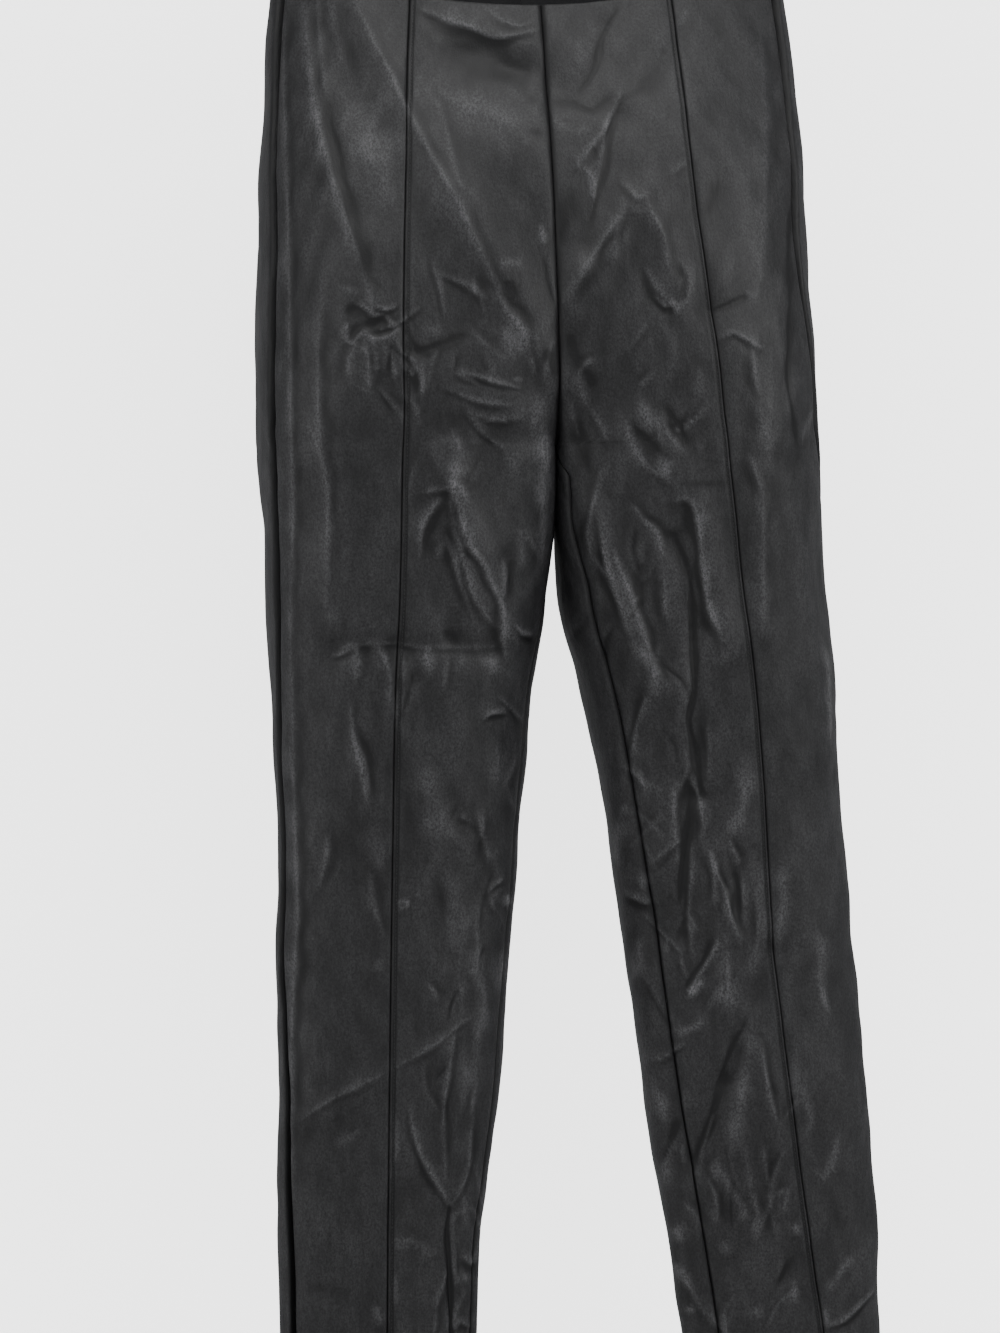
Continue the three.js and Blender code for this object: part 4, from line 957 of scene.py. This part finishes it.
def faux_leather():
    """Black coated knit: a soft uneven sheen, brushed down the leg, over a very fine grain, with painted
    highlights on crests and painted shade in hollows and seams.
    """
    material, tree, shader = plain_material("faux_leather")
    coordinates = node(tree, "ShaderNodeTexCoord")

    def texture(scale, stretch, rough):
        mapping = node(tree, "ShaderNodeMapping", {"Scale": (1.0, 1.0, stretch)})
        noise = node(tree, "ShaderNodeTexNoise", {"Scale": scale, "Detail": 3.0, "Roughness": rough})
        wire(tree, (coordinates, "Object", mapping, "Vector"), (mapping, "Vector", noise, "Vector"))
        return noise.outputs["Fac"]

    def remap(value, low, high, out_low, out_high):
        limits = {"From Min": low, "From Max": high, "To Min": out_low, "To Max": out_high}
        made = node(tree, "ShaderNodeMapRange", limits)
        tree.links.new(value, made.inputs["Value"])
        return made.outputs["Result"]

    def combine(a, b, how):
        made = node(tree, "ShaderNodeMath", operation=how)
        tree.links.new(a, made.inputs[0])
        tree.links.new(b, made.inputs[1])
        return made.outputs[0]

    # the painted highlights and painted shade laid on the mesh
    painted_light_and_shade = node(tree, "ShaderNodeAttribute", attribute_name="painted_light_and_shade").outputs["Fac"]
    patches = texture(26.0, 0.5, 0.6)
    brushed = texture(150.0, 0.35, 0.6)
    grain = texture(820.0, 0.75, 0.65)
    base = combine(remap(patches, 0.3, 0.75, 0.04, 0.12), remap(brushed, 0.3, 0.7, 0.0, 0.06), "ADD")
    # crests painted pale as a painted highlight, hollows and seams painted dark as painted shade, streaked by
    # the brushing
    crest = combine(remap(painted_light_and_shade, -0.4, 0.6, -0.32, 0.48), remap(brushed, 0.3, 0.7, 0.65, 1.25), "MULTIPLY")
    # the colour: random patches of tone plus the painted light and shade, speckled by the grain
    tone_and_painted_light = combine(combine(base, crest, "ADD"), remap(grain, 0.35, 0.65, 0.4, 1.6), "MULTIPLY")
    colour = node(tree, "ShaderNodeMix", {"A": grey(0.0045, 0.005), "B": grey(0.115, 0.12)}, data_type="RGBA")
    shader.inputs["Specular IOR Level"].default_value = 0.45
    grain_bump = node(tree, "ShaderNodeBump", {"Strength": 0.6, "Distance": 0.0003})
    brush_bump = node(tree, "ShaderNodeBump", {"Strength": 0.5, "Distance": 0.0009})
    tree.links.new(tone_and_painted_light, colour.inputs["Factor"])
    tree.links.new(remap(tone_and_painted_light, 0.0, 0.6, 0.5, 0.42), shader.inputs["Roughness"])
    tree.links.new(grain, grain_bump.inputs["Height"])
    tree.links.new(brushed, brush_bump.inputs["Height"])
    wire(tree, (colour, "Result", shader, "Base Color"), (grain_bump, "Normal", brush_bump, "Normal"),
         (brush_bump, "Normal", shader, "Normal"))
    return material


def knitted_backing():
    """The dark knit that the coating is laid on, seen inside the waist and hems."""
    material, tree, shader = plain_material("knitted_backing")
    coordinates = node(tree, "ShaderNodeTexCoord")
    wales = node(tree, "ShaderNodeTexWave", {"Scale": 420.0, "Distortion": 2.0, "Detail": 2.0},
                 wave_type="BANDS", bands_direction="X")
    fluff = node(tree, "ShaderNodeTexNoise", {"Scale": 600.0})
    tone = node(tree, "ShaderNodeMix", {"A": grey(0.008, 0.009), "B": grey(0.022, 0.024)}, data_type="RGBA")
    bump = node(tree, "ShaderNodeBump", {"Strength": 0.6, "Distance": 0.0003})
    shader.inputs["Roughness"].default_value = 0.9
    wire(tree, (coordinates, "Object", wales, "Vector"), (coordinates, "Object", fluff, "Vector"),
         (fluff, "Fac", tone, "Factor"), (tone, "Result", shader, "Base Color"),
         (wales, "Fac", bump, "Height"), (bump, "Normal", shader, "Normal"))
    return material


leather = faux_leather()
backing = knitted_backing()
side_words = {RIGHT: "right", LEFT: "left"}
stitch_lines = {}
for side, word in side_words.items():
    front_centre, face = panel_object(f"front_centre_panel_{word}", side, "centre", 1.4, 62)
    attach(front_centre, "root")
    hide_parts(f"front_centre_{word}")
    stitch_lines[word] = face[:, -1 - stitch_column]

# ---------------------------------------------------------------- front side panels
# The narrow panel outside each front seam, from waist to hem, of the same coated knit.
# Its outer edge rolls into the deep valley of the side seam.
for side, word in side_words.items():
    front_side, _ = panel_object(f"front_side_panel_{word}", side, "side", 1.4, 58)
    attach(front_side, "root")
    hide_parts(f"front_side_{word}")

# ---------------------------------------------------------------- back panels
# One panel covers the back of each leg, from the side seam round to the centre back seam
# and the inseam. The same coated knit, creased under the seat and behind the knee.
for side, word in side_words.items():
    back, _ = panel_object(f"back_panel_{word}", side, "back", 2.6, 90)
    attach(back, "root")
    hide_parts(f"back_{word}")

# ---------------------------------------------------------------- front seam stitching
# One row of black thread beside each front seam, on the centre panel's side. Each stitch
# is a short soft bar that the thread pulls half into the cloth.
thread, thread_tree, thread_shader = plain_material("black_thread")
thread_shader.inputs["Roughness"].default_value = 0.6
thread_place = node(thread_tree, "ShaderNodeTexCoord")
twist = node(thread_tree, "ShaderNodeTexWave", {"Scale": 1600.0}, wave_type="BANDS",
             bands_direction="DIAGONAL")
twist_colour = node(thread_tree, "ShaderNodeMix", {"A": grey(0.006, 0.007), "B": grey(0.02, 0.021)},
                    data_type="RGBA")
wire(thread_tree, (thread_place, "Object", twist, "Vector"), (twist, "Fac", twist_colour, "Factor"),
     (twist_colour, "Result", thread_shader, "Base Color"))


def stitch_tree():
    """Turns a line of points into a row of separate stitches laid along it."""
    tree = bpy.data.node_groups.new("stitch_row", "GeometryNodeTree")
    sockets = tree.interface
    sockets.new_socket("Geometry", in_out="INPUT", socket_type="NodeSocketGeometry")
    sockets.new_socket("Geometry", in_out="OUTPUT", socket_type="NodeSocketGeometry")
    for name in ("Pitch", "Stitch length", "Thread thickness", "Wander"):
        sockets.new_socket(name, in_out="INPUT", socket_type="NodeSocketFloat")
    sockets.new_socket("Seed", in_out="INPUT", socket_type="NodeSocketInt")
    sockets.new_socket("Thread", in_out="INPUT", socket_type="NodeSocketMaterial")
    source = node(tree, "NodeGroupInput")
    result = node(tree, "NodeGroupOutput")
    to_curve = node(tree, "GeometryNodeMeshToCurve")
    resample = node(tree, "GeometryNodeResampleCurve", mode="LENGTH")
    tangent = node(tree, "GeometryNodeInputTangent")
    align = node(tree, "FunctionNodeAlignRotationToVector", axis="Z")
    jitter = node(tree, "FunctionNodeRandomValue", data_type="FLOAT_VECTOR")
    low = node(tree, "ShaderNodeVectorMath", operation="SCALE")
    low.inputs["Scale"].default_value = -1.0
    spread = node(tree, "ShaderNodeCombineXYZ")
    ball = node(tree, "GeometryNodeMeshUVSphere", {"Segments": 8, "Rings": 5, "Radius": 0.5})
    size = node(tree, "ShaderNodeCombineXYZ")
    place = node(tree, "GeometryNodeInstanceOnPoints")
    rotate = node(tree, "GeometryNodeRotateInstances")
    realize = node(tree, "GeometryNodeRealizeInstances")
    paint = node(tree, "GeometryNodeSetMaterial")
    wire(tree, (source, "Geometry", to_curve, "Mesh"), (to_curve, "Curve", resample, "Curve"),
         (source, "Pitch", resample, "Length"), (tangent, "Tangent", align, "Vector"),
         (source, "Thread thickness", size, "X"), (source, "Thread thickness", size, "Y"),
         (source, "Stitch length", size, "Z"), (resample, "Curve", place, "Points"),
         (ball, "Mesh", place, "Instance"), (align, "Rotation", place, "Rotation"),
         (size, "Vector", place, "Scale"), (source, "Wander", spread, "X"),
         (source, "Wander", spread, "Y"), (source, "Wander", spread, "Z"),
         (spread, "Vector", jitter, "Max"), (spread, "Vector", low, "Vector"),
         (low, "Vector", jitter, "Min"), (source, "Seed", jitter, "Seed"),
         (place, "Instances", rotate, "Instances"), (jitter, "Value", rotate, "Rotation"),
         (rotate, "Instances", realize, "Geometry"), (realize, "Geometry", paint, "Geometry"),
         (source, "Thread", paint, "Material"), (paint, "Geometry", result, "Geometry"))
    return tree


stitches = stitch_tree()
stitch_values = {"Pitch": 0.0024, "Stitch length": 0.0019, "Thread thickness": 0.0007, "Wander": 0.06,
                 "Thread": thread}
for seed, (word, line) in enumerate(stitch_lines.items(), 3):
    path = bpy.data.meshes.new(f"stitch_path_{word}")
    path.from_pydata(line[3:-3].tolist(), [(i, i + 1) for i in range(len(line) - 7)], [])
    row = bpy.data.objects.new(f"stitch_path_{word}", path)
    bpy.context.scene.collection.objects.link(row)
    sewing = row.modifiers.new("stitches", "NODES")
    sewing.node_group = stitches
    stitch_values["Seed"] = seed
    for socket in stitches.interface.items_tree:
        if socket.in_out == "INPUT" and socket.name in stitch_values:
            sewing[socket.identifier] = stitch_values[socket.name]
    bpy.context.view_layer.update()
    evaluated = row.evaluated_get(bpy.context.evaluated_depsgraph_get())
    mesh = bpy.data.meshes.new_from_object(evaluated)
    bpy.data.objects.remove(row)
    mesh.name = f"front_seam_stitches_{word}"
    mesh.polygons.foreach_set("use_smooth", [True] * len(mesh.polygons))
    stitching = bpy.data.objects.new(f"front_seam_stitches_{word}", mesh)
    bpy.context.scene.collection.objects.link(stitching)
    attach(stitching, "root")

# ---------------------------------------------------------------- studio
# A pale matt floor and wall, each clear from behind and left out of every reflection, lit
# by four large soft lights that stand in front of the trousers.


def pale(name, colour, glow):
    """A matt material that glows a little and is clear from behind."""
    material, tree, shader = plain_material(name)
    shader.inputs["Base Color"].default_value = (*colour, 1.0)
    shader.inputs["Roughness"].default_value = 0.9
    shader.inputs["Specular IOR Level"].default_value = 0.1
    shader.inputs["Emission Color"].default_value = (1.0, 1.0, 1.0, 1.0)
    shader.inputs["Emission Strength"].default_value = glow
    behind = node(tree, "ShaderNodeNewGeometry")
    clear = node(tree, "ShaderNodeBsdfTransparent")
    mix = node(tree, "ShaderNodeMixShader")
    wire(tree, (behind, "Backfacing", mix, "Fac"), (shader, "BSDF", mix, 1), (clear, "BSDF", mix, 2),
         (mix, "Shader", tree.nodes["Material Output"], "Surface"))
    return material


def stage_plane(name, corners, colour, glow):
    """A flat part of the studio that shows in no reflection."""
    mesh = bpy.data.meshes.new(name)
    mesh.from_pydata(corners, [], [(0, 1, 2, 3)])
    mesh.materials.append(pale(name, colour, glow))
    made = bpy.data.objects.new(name, mesh)
    made.visible_glossy = False
    bpy.context.scene.collection.objects.link(made)


floor_z = cad_low.z - 0.13
wall_y = 0.17
wall_top = 4
reach = 5
off_white = (0.8, 0.8, 0.8)
stage_plane("floor", [(-reach, -reach, floor_z), (reach, -reach, floor_z), (reach, reach, floor_z),
                      (-reach, reach, floor_z)], off_white, 0.2)
stage_plane("wall", [(-reach, wall_y, floor_z), (reach, wall_y, floor_z), (reach, wall_y, wall_top),
                     (-reach, wall_y, wall_top)], off_white, 2.5)

world = bpy.data.worlds.new("studio")
world.use_nodes = True
world.node_tree.nodes["Background"].inputs["Color"].default_value = (0.92, 0.93, 0.95, 1.0)
world.node_tree.nodes["Background"].inputs["Strength"].default_value = 0.3
bpy.context.scene.world = world

# name, place, aims at, width, height, watts
lights = [
    ("top_front_light", (0.2, -2.0, 1.9), (0, 0, -0.2), 2.8, 1.0, 42),
    ("upper_left_light", (-1.7, -2.35, 0.7), (0, 0, -0.5), 0.7, 0.9, 7),
    ("upper_right_light", (2.1, -2.0, 0.3), (0, 0, -0.6), 0.7, 1.2, 22),
    ("left_light", (-2.8, -1.6, -0.1), (0, 0, -0.6), 0.4, 1.8, 10),
]
for name, place, aims_at, width, height, watts in lights:
    data = bpy.data.lights.new(name, "AREA")
    data.shape = "RECTANGLE"
    data.size = width
    data.size_y = height
    data.energy = watts
    lamp = bpy.data.objects.new(name, data)
    lamp.location = place
    lamp.rotation_mode = "QUATERNION"
    lamp.rotation_quaternion = (Vector(aims_at) - Vector(place)).to_track_quat("-Z", "Y")
    lamp.visible_camera = False
    bpy.context.scene.collection.objects.link(lamp)

bpy.context.view_layer.update()
